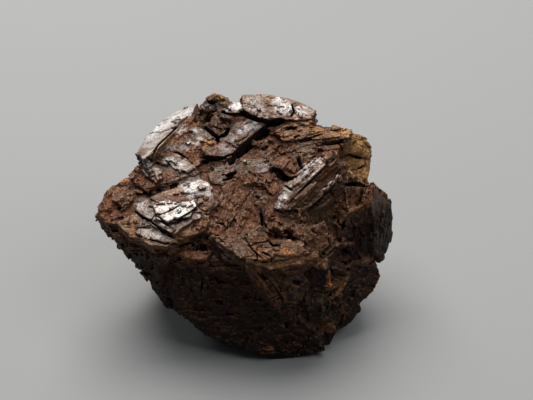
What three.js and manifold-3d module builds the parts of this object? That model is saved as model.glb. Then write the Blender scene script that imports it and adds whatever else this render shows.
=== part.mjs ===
// Limonite pseudomorph: a fist-like knot of intergrown, platy rhombs, about 45 mm across.
// Limonite has replaced the first mineral and kept its cleavage, so each crystal is a stack of
// parallel sheets whose broken edges step back as ledges. All the crystals grew as one stone,
// so they are joined in one solid. Millimetres, +Z up, resting on a cleavage face at z = 0.

import * as THREE from "three";
import { ConvexGeometry } from "three/addons/geometries/ConvexGeometry.js";
import { mergeVertices } from "three/addons/utils/BufferGeometryUtils.js";
import Module from "manifold-3d";

const wasm = await Module();
wasm.setup();

// Middle of the stone's bounding box on the resting plane, as the places below are measured.
const CENTRE = [0.47, 5.37, 0];

// How far a broken corner of a deeper sheet strays from the corner above it.
const RAGGED = 0.35;

// How far neighbouring sheets run into each other, so that they join.
const OVERLAP = 0.05;

// The far side of the stone is an egg-shaped envelope with rows of crystals round it.
const EGG_CENTRE = [0.5, 3, 15];
const EGG_RADII = [18.5, 15.5, 14];
const EGG_DEPTH = 6;
const EGG_STEP = 0.4;
const eggRows = [
  { elevation: 38, from: 45, to: 155, count: 4 },
  { elevation: 10, from: 30, to: 172, count: 6 },
  { elevation: -20, from: 10, to: 158, count: 6 },
  { elevation: -45, from: 0, to: 175, count: 5 },
];

// The far side ends in one broad cleavage face just below the top crystals, which rises away
// from the front: its height over the middle of the stone, and its slope.
const LID_HEIGHT = 22;
const LID_SLOPE = 0.28;

// Each crystal is given by its outer cleavage face: face is a point in the middle of it, looks is
// the azimuth and elevation of its normal in degrees, and the outline is what someone who looks
// straight at the face sees, in mm to the right and up. The crystal goes depth mm back from the
// face in so many sheets. steps is how far each deeper sheet stands out past the one above, and
// the side it stands out on, in degrees counter-clockwise from the right.
function crystal(name, face, looks, depth, sheets, steps, outline) {
  return { name, face, looks, depth, sheets, steps, outline };
}

// A repeatable stream of numbers from 0 to 1.
function randomStream(seed) {
  let state = seed;
  return () => {
    state = (state * 1664525 + 1013904223) % 4294967296;
    return state / 4294967296;
  };
}

// Outline of a cleavage face on a side that is all alike: a leaning rhomb, turned by spin
// degrees, with its four corners broken off.
function rhomb(length, width, spin, seed) {
  const random = randomStream(seed);
  const lean = 0.5 * (random() - 0.5);
  const turn = THREE.MathUtils.degToRad(spin);
  const corners = [[1, -1], [1, 1], [-1, 1], [-1, -1]];
  return corners.flatMap(([x, y], i) => {
    const chip = (0.08 + 0.3 * random() ** 2) * width;
    const onEnd = [(x * length) / 2, y * (width / 2 - chip)];
    const onSide = [x * (length / 2 - chip), (y * width) / 2];
    const pair = i % 2 === 0 ? [onSide, onEnd] : [onEnd, onSide];
    return pair.map(([u, v]) => [
      (u + lean * v) * Math.cos(turn) - v * Math.sin(turn),
      (u + lean * v) * Math.sin(turn) + v * Math.cos(turn),
    ]);
  });
}

// The top, the front and the right side.
const shown = [
  crystal("silver back plate", [-12.3, 13.7, 26.3], [145, 68], 6, 2, [0.3, 180], [
    [9.2, 3.6], [4.2, 3.1], [-4.6, 1.3], [-8.7, -0.8], [-6.7, -2.8], [-4, -3.7], [0.7, -2.8],
    [7.7, 0.5],
  ]),
  crystal("ridge slab", [-10.5, 7.6, 25.8], [-95, 74], 5, 3, [0.3, -60], [
    [-4.8, -6.1], [-2.9, -6.4], [-0.9, -4.9], [2.3, -3.3], [4.1, -0.9], [6.2, 3.5], [5.4, 6.5],
    [3.7, 8.4], [1.3, 7.7], [-2.6, 2.1], [-4.7, -1.1], [-6.4, -4.2],
  ]),
  crystal("mottled flakes", [-11.4, 4.5, 25.5], [-92, 73], 1.6, 2, [0.4, -60], [
    [-3, -3], [-1, -2.4], [1.8, -1.4], [4.7, -0.3], [3.4, 1.5], [0.3, 3.3], [-2.4, 2], [-4, -0.1],
  ]),
  crystal("grey flake", [-2.1, 10, 27.1], [-82, 73], 4, 3, [0.2, -30], [
    [-2.5, 0.5], [-4.9, -1.1], [-4.2, -2.9], [-0.2, -3.5], [2.6, -0.9], [5.9, 1.6], [3.2, 3.8],
    [0.2, 2.6],
  ]),
  crystal("brown shard", [-4.1, 12.8, 28.3], [-105, 60], 3, 2, [0.2, -90], [
    [-2.2, -1.2], [1.5, -2.1], [2.1, -0.9], [1.8, 1], [-0.6, 2], [-2.7, 0.8],
  ]),
  crystal("peak knob", [-5, 15.9, 29.4], [-80, 50], 5, 2, [0.2, -90], [
    [-1, -1.3], [1, -0.9], [2.3, 0.1], [1.5, 1.4], [0.1, 1.6], [-1.6, 0.5], [-2.4, -1.2],
  ]),
  crystal("white patch", [-2, 15.7, 28.9], [-85, 74], 4, 2, [0.2, -90], [
    [-1.2, -1.2], [1.7, -1.2], [1.6, 0.6], [-0.5, 1.3], [-1.7, 0.6],
  ]),
  crystal("back right plate", [5, 15.2, 29.1], [-80, 66], 5, 2, [0.2, -90], [
    [-5.7, 0], [-2.9, -2], [1.3, -2.3], [4.5, -2.8], [5.7, -1.2], [3.7, 0.5], [1.4, 1.7],
    [-2.2, 2.8], [-5.4, 2.8],
  ]),
  crystal("first upper ledge", [9.7, 11.1, 27.4], [-97, 71], 4, 3, [0.4, -80], [
    [-4.1, -2.1], [0.4, -1.3], [5.3, -0.9], [6.4, 1.1], [1, 2.3], [-3.2, 1.5], [-5.5, -0.2],
  ]),
  crystal("second upper ledge", [11.3, 9.2, 26.4], [-97, 70], 4, 3, [0.4, -80], [
    [-1.2, -1.7], [2.6, -0.2], [4.2, 1.5], [0.5, 1.4], [-2.6, 0.2], [-3.6, -1.5],
  ]),
  crystal("third upper ledge", [6.4, 7.9, 25.8], [-95, 70], 4, 3, [0.4, -60], [
    [-2.6, -2.2], [1.8, -1.4], [4.4, 0.4], [2, 1.9], [-0.8, 1.9], [-4.5, -0.5],
  ]),
  crystal("ochre block", [16.9, 10.4, 22.9], [-72, 38], 8, 2, [0.2, -90], [
    [-3.3, -0.9], [-2.1, -3.1], [0.9, -3.8], [2.1, -1.7], [2.8, 0.8], [2.1, 3.1], [0, 4.1],
    [-2.5, 1.5],
  ]),
  crystal("left corner block", [-18.1, 1, 21.9], [-112, 72], 5, 3, [0.1, -60], [
    [-0.7, -4.3], [1, -3.8], [2.3, -0.9], [3.9, 1.5], [2.1, 4], [-1.4, 4.3], [-3.4, 0.7],
    [-3.4, -1.6],
  ]),
  crystal("bright slab", [-9.6, -0.8, 23.4], [-92, 74], 3, 3, [0.5, -80], [
    [-3.6, -3.8], [-0.6, -5.6], [2.8, -2.2], [5, 0.9], [4.5, 3.2], [2.4, 5], [-0.4, 3.3],
    [-3.4, 0.9], [-6.1, -1.4],
  ]),
  crystal("bright flake", [-10.5, -2.3, 23.6], [-92, 75], 1, 2, [0.4, -80], [
    [-2.3, -1], [-0.4, -2.2], [1.3, -1.7], [3.6, 0.2], [2.4, 2.3], [-1.8, 1.9], [-3, 0.6],
  ]),
  crystal("front lobe", [-11, -4.1, 21.7], [-90, 63], 4, 3, [0.3, -90], [
    [-5.8, -1.8], [-2.6, -2.2], [0.6, -2.6], [3.1, -2.1], [5.3, -1.1], [5.7, 0.4], [6.2, 3.1],
    [-0.6, 3.1], [-4.8, 2.6], [-7.3, 0.3],
  ]),
  crystal("lower lobe", [-10.4, -5.5, 19.7], [-92, 45], 3, 3, [0.3, -90], [
    [-4, -0.7], [-1.8, -1.3], [1.4, -1.3], [4, -0.8], [4.9, 0.3], [3.9, 1.5], [-1.9, 1.6],
    [-6.2, 0.4],
  ]),
  crystal("centre hollow", [-0.7, -1.4, 21.8], [-78, 62], 6, 2, [0.3, -90], [
    [-5.3, -2.4], [-3.3, -3.6], [-0.8, -4.3], [2.3, -4.7], [3.6, -0.9], [5.7, 1.9], [4.1, 5],
    [0.9, 5.2], [-2, 4.2], [-5.2, 0.3],
  ]),
  crystal("upper centre shards", [0.8, 3, 24.3], [-88, 70], 4, 2, [0.4, -70], [
    [-4, -1.9], [-1.6, -0.6], [1.6, -0.6], [3.6, -2.4], [4.9, 1.4], [1.7, 2.9], [-1.9, 1.9],
    [-4.3, -0.2],
  ]),
  crystal("centre ledge", [-0.8, 4.5, 25], [-100, 72], 4, 2, [0.4, -70], [
    [-3.8, -2.6], [-2.2, -2.7], [-0.1, -1], [3.3, 0.2], [6.3, 1.7], [2.8, 3.1], [-1, 2.2],
    [-5, -0.9],
  ]),
  crystal("brow ledge", [2.8, -7, 20.5], [-88, 60], 4, 3, [0.3, -90], [
    [-5.5, -0.6], [-2.7, -2.2], [1, -2.7], [5.9, -1.7], [6.4, -0.1], [5.1, 0.5], [0.8, 0.9],
    [-0.3, 3.1], [-3.3, 1.6], [-7.7, 1.7],
  ]),
  crystal("brow shelf", [5.6, -8.9, 19.1], [-90, 48], 2.5, 2, [0.2, -90], [
    [-5.3, -0.7], [-1.7, -1.4], [2.8, -0.7], [4.7, 0.2], [4.8, 1.3], [2.3, 1.2], [-2, -0.3],
    [-5.7, 0.3],
  ]),
  crystal("wedge crystal", [7.2, -5.5, 21.6], [-60, 55], 3, 2, [0.3, -60], [
    [-1.9, 0.6], [-0.4, -1.2], [1, -2.4], [3.2, -1.2], [2.2, 0.7], [-1.1, 1.6], [-3.2, 2],
  ]),
  crystal("post crystal", [3.8, -2.2, 22.6], [-100, 66], 3, 2, [0.3, -90], [
    [-1.3, -0.6], [0.2, -2.7], [2.1, -1.5], [0.7, 0], [0.4, 2.6], [-1.9, 2],
  ]),
  crystal("striated ridge", [8.7, 2.5, 25.3], [-105, 68], 4.5, 5, [0.3, -45], [
    [3.7, 5.7], [1.9, 5.1], [-1, 2.3], [-2.5, 0.1], [-3.3, -2.5], [-3.2, -5.8], [-1.7, -6],
    [0.2, -3.2], [1.8, 0.7], [4, 3.8],
  ]),
  crystal("lower ridge", [11.4, 1.2, 23.6], [-105, 66], 3.5, 3, [0.3, -45], [
    [1.9, 3.6], [0.6, 1.8], [-2.9, -2.6], [-2.2, -3.7], [0.1, -1.2], [2.4, 2.5],
  ]),
  crystal("dark cleavage face", [12.2, 0.5, 19.5], [-48, 22], 6, 2, [0.2, -90], [
    [-4.3, 0.5], [-3.2, -2.3], [-1.4, -5.6], [1.1, -3.1], [3.2, -2.4], [5.4, 2.6], [4.6, 4.4],
    [-0.3, 3], [-4.3, 3.1],
  ]),
  crystal("dark panel", [16.8, 0, 16.7], [-72, 12], 8, 2, [0.2, -90], [
    [-2.9, -2.9], [-0.9, -5], [3, -4.4], [3.2, 1.2], [2.1, 4.6], [-1.2, 3.8], [-3.2, 1.9],
  ]),
  crystal("right shoulder", [18.7, 4.6, 19.7], [-35, 35], 6, 2, [0.3, -60], [
    [-5.1, 0.7], [-0.4, -0.7], [1.3, -3.2], [2.9, -2], [2.8, -0.1], [1.6, 1.3], [-3.3, 4.1],
  ]),
  crystal("right outer sheets", [20.7, 2.4, 16.5], [-32, 8], 6, 3, [0.3, 0], [
    [-2.5, 5.1], [-2.1, 1.8], [-2.8, -2.9], [-1.4, -6.6], [1.3, -5.9], [3.2, -4.2], [3.5, 0.2],
    [2.4, 4], [-0.9, 7.3],
  ]),
  crystal("tan notch", [10.7, -7.4, 17.7], [-80, 40], 3, 2, [0.2, -90], [
    [-1.1, -0.6], [0.8, -1.7], [1.5, -0.4], [0.3, 1.5], [-1.2, 1.1],
  ]),
  crystal("lower right block", [16.6, -2.3, 9.6], [-62, 15], 7, 3, [0.3, -60], [
    [-3.7, 1.2], [-2.7, -1.9], [0.2, -4.6], [3.2, -3.4], [4.4, -1], [3.5, 2.4], [-0.4, 2.4],
    [-4, 4.4],
  ]),
  crystal("foot block", [15.2, -4.6, 4.6], [-70, 15], 7, 3, [0.3, -90], [
    [-2.6, 0], [-1.9, -3], [0.3, -2], [2.6, -0.4], [2.4, 1.8], [-0.8, 3.3],
  ]),
  crystal("toe block", [11.3, -7, 2.8], [-68, 8], 6, 2, [0.2, 90], [
    [-2.4, 1.4], [-2.2, -2.8], [0.8, -3.9], [2.7, -1], [2, 2.7], [-0.7, 3.1],
  ]),
  crystal("slotted block", [10.9, -7, 10.8], [-85, 12], 6, 2, [0.3, -90], [
    [-2.1, -0.8], [-1.7, -4.6], [1.6, -4.2], [1.9, 0.6], [1.6, 4.4], [-1.4, 4.5],
  ]),
  crystal("leaning sheets", [6.5, -9.3, 14.3], [-78, 20], 5, 3, [0.3, -150], [
    [-2.3, -0.4], [-0.7, -3.2], [1.9, -2.6], [3.1, -0.1], [1.6, 2.4], [-3.6, 3.5],
  ]),
  crystal("leaning edge", [2.7, -9.8, 14.8], [-95, 8], 5, 3, [0.3, -150], [
    [-2, 1.1], [-0.5, -1.6], [2.1, -3.9], [3.4, -2.7], [0, 3.2], [-2.9, 3.7],
  ]),
  crystal("left flank", [-15.8, -4.6, 16], [-124, 2], 6, 2, [0.2, -90], [
    [-4.2, 1.1], [-1.9, -1.4], [1.8, -4.3], [3.6, -5.7], [4.9, 1.4], [2.5, 3.2], [-1.6, 2.6],
    [-5.4, 3],
  ]),
  crystal("left wall", [-10.2, -6.2, 12.4], [-110, 6], 6, 2, [0.3, -90], [
    [-4.2, -2.2], [-1.8, -5.4], [1.9, -6.9], [5.4, -1.6], [5, 5.8], [-1, 5.6], [-5.4, 4],
  ]),
  crystal("front wall", [-3.1, -8, 9.6], [-94, 10], 6, 2, [0.2, 90], [
    [-7.8, 0.4], [-5.5, -3.5], [-2.9, -5.8], [1.3, -7.6], [8.3, -7.5], [9.1, -1.8], [5.8, 3.3],
    [2.3, 7.5], [-2.9, 7.9], [-7.6, 7],
  ]),
  crystal("front foot", [5.9, -9.4, 3.4], [-86, 10], 5, 2, [0.2, 90], [
    [-6.1, -1.3], [-1.7, -3.4], [2.2, -2.9], [6, -2.2], [4.9, 1], [2.2, 4.1], [-2.2, 3], [-5.3, 1],
  ]),
  crystal("middle shard", [6.2, 5.1, 25.5], [-70, 55], 2.5, 2, [0.3, -60], [
    [-1.7, -1.6], [1.1, -1.4], [2.2, 0.2], [1, 1.8], [-2.4, 1.1],
  ]),
  crystal("block below the ridge", [6.3, -2.7, 21.9], [-95, 40], 2.5, 2, [0.2, -90], [
    [-1.8, -0.6], [0, -1.4], [2.1, -0.5], [1.6, 1.5], [-1.9, 1.1],
  ]),
  crystal("plate beside the brow", [10.8, -5.3, 20.3], [-60, 42], 3, 2, [0.2, -60], [
    [-2, -0.5], [-0.4, -1.9], [2.3, -1.2], [1.7, 1.8], [-1.6, 2],
  ]),
  crystal("left rim chip", [-17.5, 1.2, 22.6], [-100, 78], 1.5, 2, [0.3, -90], [
    [0.2, -2.1], [2.1, 0.5], [-0.1, 2.6], [-2.3, -0.7],
  ]),
  crystal("left lower layer", [-18, -3.3, 19.7], [-118, 45], 3, 2, [0.3, -90], [
    [-1, -1.1], [1.9, -1.1], [2.6, 0.5], [-1, 1.4], [-2.8, 0.3],
  ]),
];

// The foot and the flanks under the overhangs.
const under = [
  crystal("resting face", [2, 1, 0], [-90, -90], 3, 2, [0.4, 90], [
    [-8.5, -3], [-6, -7], [0, -9.3], [6, -8], [9.5, -3.5], [10, 3], [6.5, 9.3], [1, 10.2],
    [-5.5, 7.6], [-9, 3],
  ]),
  crystal("left flank low", [-9, 0, 6.5], [-150, -38], 6, 2, [0.3, 90], rhomb(10, 8, 20, 11)),
  crystal("left flank back", [-16, 4.5, 14.5], [-175, -22], 6, 3, [0.3, 90], rhomb(11, 8, 50, 12)),
  crystal("right flank low", [16.5, 0, 7], [-25, -15], 6, 2, [0.3, 90], rhomb(10, 9, 30, 21)),
];

// Gaps between the crystals, given in the same way and cut out of the stone.
const hollows = [
  crystal("crevice beside the grey flake", [0.6, 9.2, 27], [-82, 73], 3.2, 1, [0, 0], [
    [2.9, 3], [0.6, 1.1], [-1.6, -0.9], [-4.1, -3.1], [-2.8, -3.1], [-0.7, -1], [2.1, 1.1],
    [3.6, 2.5],
  ]),
  crystal("hollow below the peak", [-6.7, 13.8, 28.5], [-90, 60], 3, 1, [0, 0], [
    [-0.3, -1.2], [1.2, -0.9], [1.7, 0.4], [0.1, 1.3], [-1.2, 0.9], [-1.8, -0.6],
  ]),
  crystal("undercut of the ochre block", [16.6, 6.6, 20.1], [-75, 20], 3, 1, [0, 0], [
    [-1.9, -0.1], [-0.7, -1.1], [2.1, -0.6], [1.9, 0.7], [-1.6, 1.1],
  ]),
  crystal("recess beside the dark panel", [14.6, -0.8, 15.6], [-70, 12], 2.5, 1, [0, 0], [
    [-0.9, -0.7], [-0.1, -3.5], [1.1, -2.6], [0.7, -0.4], [0.4, 3.4], [-0.7, 3.6],
  ]),
  crystal("slot", [12.6, -6.2, 7.9], [-75, 10], 3, 1, [0, 0], [
    [-0.5, -2], [0.6, -2.2], [0.5, 1.9], [-0.4, 2.1],
  ]),
  crystal("wedge crack", [6.3, -6, 21.5], [-85, 60], 3, 1, [0, 0], [
    [-0.8, 0.1], [0.6, -1.2], [1.4, -0.8], [0.1, 0.8], [-1.2, 1.2],
  ]),
  crystal("dark pit", [-2.4, 3.6, 24.9], [-90, 70], 2.2, 1, [0, 0], [
    [-0.9, -1.1], [0.3, -0.6], [1.4, 0.7], [1.1, 1.2], [-0.5, 0.7], [-1.3, -0.6],
  ]),
  crystal("crack beside the front lobe", [-6.6, -6.3, 20.6], [-95, 55], 2.5, 1, [0, 0], [
    [-1, -1.3], [0.4, -1], [1.4, 1], [0.5, 1.4], [-1.4, -0.2],
  ]),
];

// Corners of the solid middle that the crystals grow from.
const coreCorners = [
  [-17, 2, 18.5], [-10, -6.5, 18], [3, -8, 16.5], [9, -6, 16.5], [15, 0, 17], [18, 7, 18],
  [15, 11, 21], [8, 13, 24], [-4, 14, 24], [-12, 10, 21], [-13, -3, 12], [-7, -6, 7], [0, -7.5, 1],
  [9, -6, 1], [12, 3, 1], [4, 9, 1], [-6, 3, 1], [16, 6, 8], [3, 12, 12], [-12, 8, 12],
];

// The crystals of one row: each stands on the envelope, looks roughly away from its middle, and
// has a turn and a size of its own.
function eggRow({ elevation, from, to, count }, row) {
  const random = randomStream(300 + row);
  return Array.from({ length: count }, (_, i) => {
    const azimuth = from + ((to - from) * (i + 0.5 * (random() - 0.5))) / (count - 1);
    const tilt = elevation + 14 * (random() - 0.5);
    const [a, e] = [azimuth, tilt].map(THREE.MathUtils.degToRad);
    const outwards = [Math.cos(e) * Math.cos(a), Math.cos(e) * Math.sin(a), Math.sin(e)];
    const face = outwards.map((d, axis) => EGG_CENTRE[axis] + EGG_RADII[axis] * d);
    const looks = [azimuth + 24 * (random() - 0.5), 0.8 * tilt + 20 * (random() - 0.5)];
    const length = 9 + 5 * random();
    const width = 7 + 3 * random();
    const spin = 180 * random();
    const outline = rhomb(length, width, spin, 400 + 20 * row + i);
    const steps = [EGG_STEP, 360 * random()];
    return crystal(`far side ${row} ${i}`, face, looks, EGG_DEPTH, 2, steps, outline);
  });
}

// A closed geometry as a manifold-3d solid.
function solidOf(geometry) {
  geometry.deleteAttribute("normal");
  geometry.deleteAttribute("uv");
  const merged = mergeVertices(geometry, 1e-4);
  return new wasm.Manifold(
    new wasm.Mesh({
      numProp: 3,
      vertProperties: merged.attributes.position.array,
      triVerts: new Uint32Array(merged.index.array),
    }),
  );
}

// A manifold-3d solid as a BufferGeometry.
function geometryOf(solid) {
  const mesh = solid.getMesh();
  const geometry = new THREE.BufferGeometry();
  geometry.setAttribute("position", new THREE.BufferAttribute(mesh.vertProperties, 3));
  geometry.setIndex(new THREE.BufferAttribute(mesh.triVerts, 1));
  geometry.computeVertexNormals();
  return geometry;
}

// The turn and place that carry a face's own axes (right, up, outwards) into the stone.
function faceMatrix({ face, looks }) {
  const [azimuth, elevation] = looks.map(THREE.MathUtils.degToRad);
  const normal = new THREE.Vector3(
    Math.cos(elevation) * Math.cos(azimuth),
    Math.cos(elevation) * Math.sin(azimuth),
    Math.sin(elevation),
  );
  const right = new THREE.Vector3(-Math.sin(azimuth), Math.cos(azimuth), 0);
  const up = new THREE.Vector3().crossVectors(normal, right);
  return new THREE.Matrix4().makeBasis(right, up, normal).setPosition(...face);
}

// A crystal as a stack of sheets, the outermost first. Each deeper sheet is the same outline,
// a little larger all round and more on the side of its steps, with ragged corners.
function crystalSolid({ face, looks, depth, sheets, steps, outline }, seed) {
  const random = randomStream(seed);
  const [step, side] = steps;
  const matrix = faceMatrix({ face, looks });
  const turn = THREE.MathUtils.degToRad(side);
  const aside = new THREE.Vector2(Math.cos(turn), Math.sin(turn));
  const solids = [];
  let top = 0;
  for (let k = 0; k < sheets; k += 1) {
    const corners = outline.map(([x, y]) => {
      const corner = new THREE.Vector2(x, y);
      const outwards = corner.clone().normalize();
      corner.addScaledVector(outwards, 0.4 * step * k).addScaledVector(aside, 0.8 * step * k);
      const stray = new THREE.Vector2(random() - 0.5, random() - 0.5);
      return k === 0 ? corner : corner.addScaledVector(stray, 2 * RAGGED);
    });
    const thick = (depth / sheets) * (0.7 + 0.6 * random());
    const sheet = new THREE.ExtrudeGeometry(new THREE.Shape(corners), {
      depth: thick + OVERLAP,
      bevelEnabled: false,
    });
    sheet.translate(0, 0, -top - thick - OVERLAP);
    sheet.applyMatrix4(matrix);
    solids.push(solidOf(sheet));
    top += thick;
  }
  return solids.reduce((a, b) => a.add(b));
}

// Several crystals in one solid, each with a stream of numbers of its own.
function joined(crystals, seed) {
  return crystals.map((each, i) => crystalSolid(each, seed + 37 * i)).reduce((a, b) => a.add(b));
}

const lid = new THREE.BoxGeometry(100, 100, 40).translate(0, 0, 20);
lid.rotateX(Math.atan(LID_SLOPE)).translate(0, 0, LID_HEIGHT);
const farSide = joined(eggRows.flatMap(eggRow), 9000).subtract(solidOf(lid));

const core = new ConvexGeometry(coreCorners.map((corner) => new THREE.Vector3(...corner)));
let stone = solidOf(core).add(farSide).add(joined(under, 7000)).add(joined(shown, 1000));
stone = stone.subtract(joined(hollows, 5000));

// Nothing reaches below the resting plane.
const below = new THREE.BoxGeometry(100, 100, 40).translate(0, 0, -20);
stone = stone.subtract(solidOf(below));

// Gaps sealed between crystals are filled: the outer skin is the body of the largest volume.
stone = stone.decompose().reduce((a, b) => (a.volume() > b.volume() ? a : b));

const geometry = geometryOf(stone);
geometry.translate(-CENTRE[0], -CENTRE[1], -CENTRE[2]);
const limonite = new THREE.MeshStandardMaterial({ color: 0x4a3025, roughness: 0.6, metalness: 0.1 });
const mesh = new THREE.Mesh(geometry, limonite);
mesh.name = "limonite_pseudomorph";

const group = new THREE.Group();
group.add(mesh);
export default group;
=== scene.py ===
"""Looks of the limonite pseudomorph: the stone as one fine mesh, its floor, light and camera.

The crystals are those of the solid, in the same places. Here each one is split into thin
sheets with broken edges, flakes and cracks, and the stone is meshed from a grid of distances.
"""
import math
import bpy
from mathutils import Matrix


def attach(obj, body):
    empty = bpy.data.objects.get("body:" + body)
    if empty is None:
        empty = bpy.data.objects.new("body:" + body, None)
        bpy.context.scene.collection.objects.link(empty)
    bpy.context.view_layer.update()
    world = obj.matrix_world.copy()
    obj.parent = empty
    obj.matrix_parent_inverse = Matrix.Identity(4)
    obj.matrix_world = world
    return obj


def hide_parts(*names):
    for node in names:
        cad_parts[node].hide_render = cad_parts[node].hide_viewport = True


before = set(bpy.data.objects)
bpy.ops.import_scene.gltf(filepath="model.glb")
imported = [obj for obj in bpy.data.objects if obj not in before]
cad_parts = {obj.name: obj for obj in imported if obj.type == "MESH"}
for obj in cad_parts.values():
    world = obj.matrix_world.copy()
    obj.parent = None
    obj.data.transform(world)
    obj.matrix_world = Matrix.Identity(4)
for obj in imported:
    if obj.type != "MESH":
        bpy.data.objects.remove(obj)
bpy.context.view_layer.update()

from types import SimpleNamespace

import bmesh
import bpy
import numpy as np
import openvdb
from mathutils import Vector
from mathutils.bvhtree import BVHTree

# Lengths are in mm and places are the solid's own until the mesh is made, which is in metres.
METRE = 1000
CENTRE = np.array([0.47, 5.37, 0.0])
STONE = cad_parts["limonite_pseudomorph"].data
PIECES = ("limonite_left", "limonite_middle", "limonite_right")
TRIANGLES = 585000

# The grid of distances: the side of a voxel, its corners, and how far off it still counts.
VOXEL = 0.11
GRID_LOW = np.array([-23.4, -12.0, -0.9])
GRID_HIGH = np.array([24.4, 22.8, 32.0])
BAND = 0.45

# The maps over a crystal's face: the side of a pixel, and how far they go past its outline.
PIXEL = 0.08
MARGIN = 1.8

# The camera, in the stone's own mm. Points that were picked in the picture it takes are
# places on the stone that it sees there.
PICTURE = (533, 400)
LENS = 85
SENSOR = 36
EYE = np.array([3.1, -144.72, 136.08])
AIM = np.array([3.1, 5.0, 19.1])


def crystal(name, face, looks, depth, sheets, steps, outline):
    """A crystal: a point on its outer cleavage face, the azimuth and elevation that the face
    looks in, how deep it goes, in how many sheets, how they step out, and the face's outline
    in mm to the right and up as seen by someone who looks straight at it."""
    return {"name": name, "face": np.array(face, float), "looks": looks, "depth": depth,
            "sheets": sheets, "steps": steps, "outline": np.array(outline, float)}


# Of the solid: how far a deeper sheet's corners stray, and the egg-shaped far side with its lid.
RAGGED = 0.35
EGG_CENTRE = np.array([0.5, 3.0, 15.0])
EGG_RADII = np.array([18.5, 15.5, 14.0])
EGG_DEPTH = 6
EGG_STEP = 0.4
LID_HEIGHT = 22
LID_SLOPE = 0.28

# Rows of crystals round the far side: elevation, first and last azimuth, and how many.
egg_rows = [(38, 45, 155, 4), (10, 30, 172, 6), (-20, 10, 158, 6), (-45, 0, 175, 5)]

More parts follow.
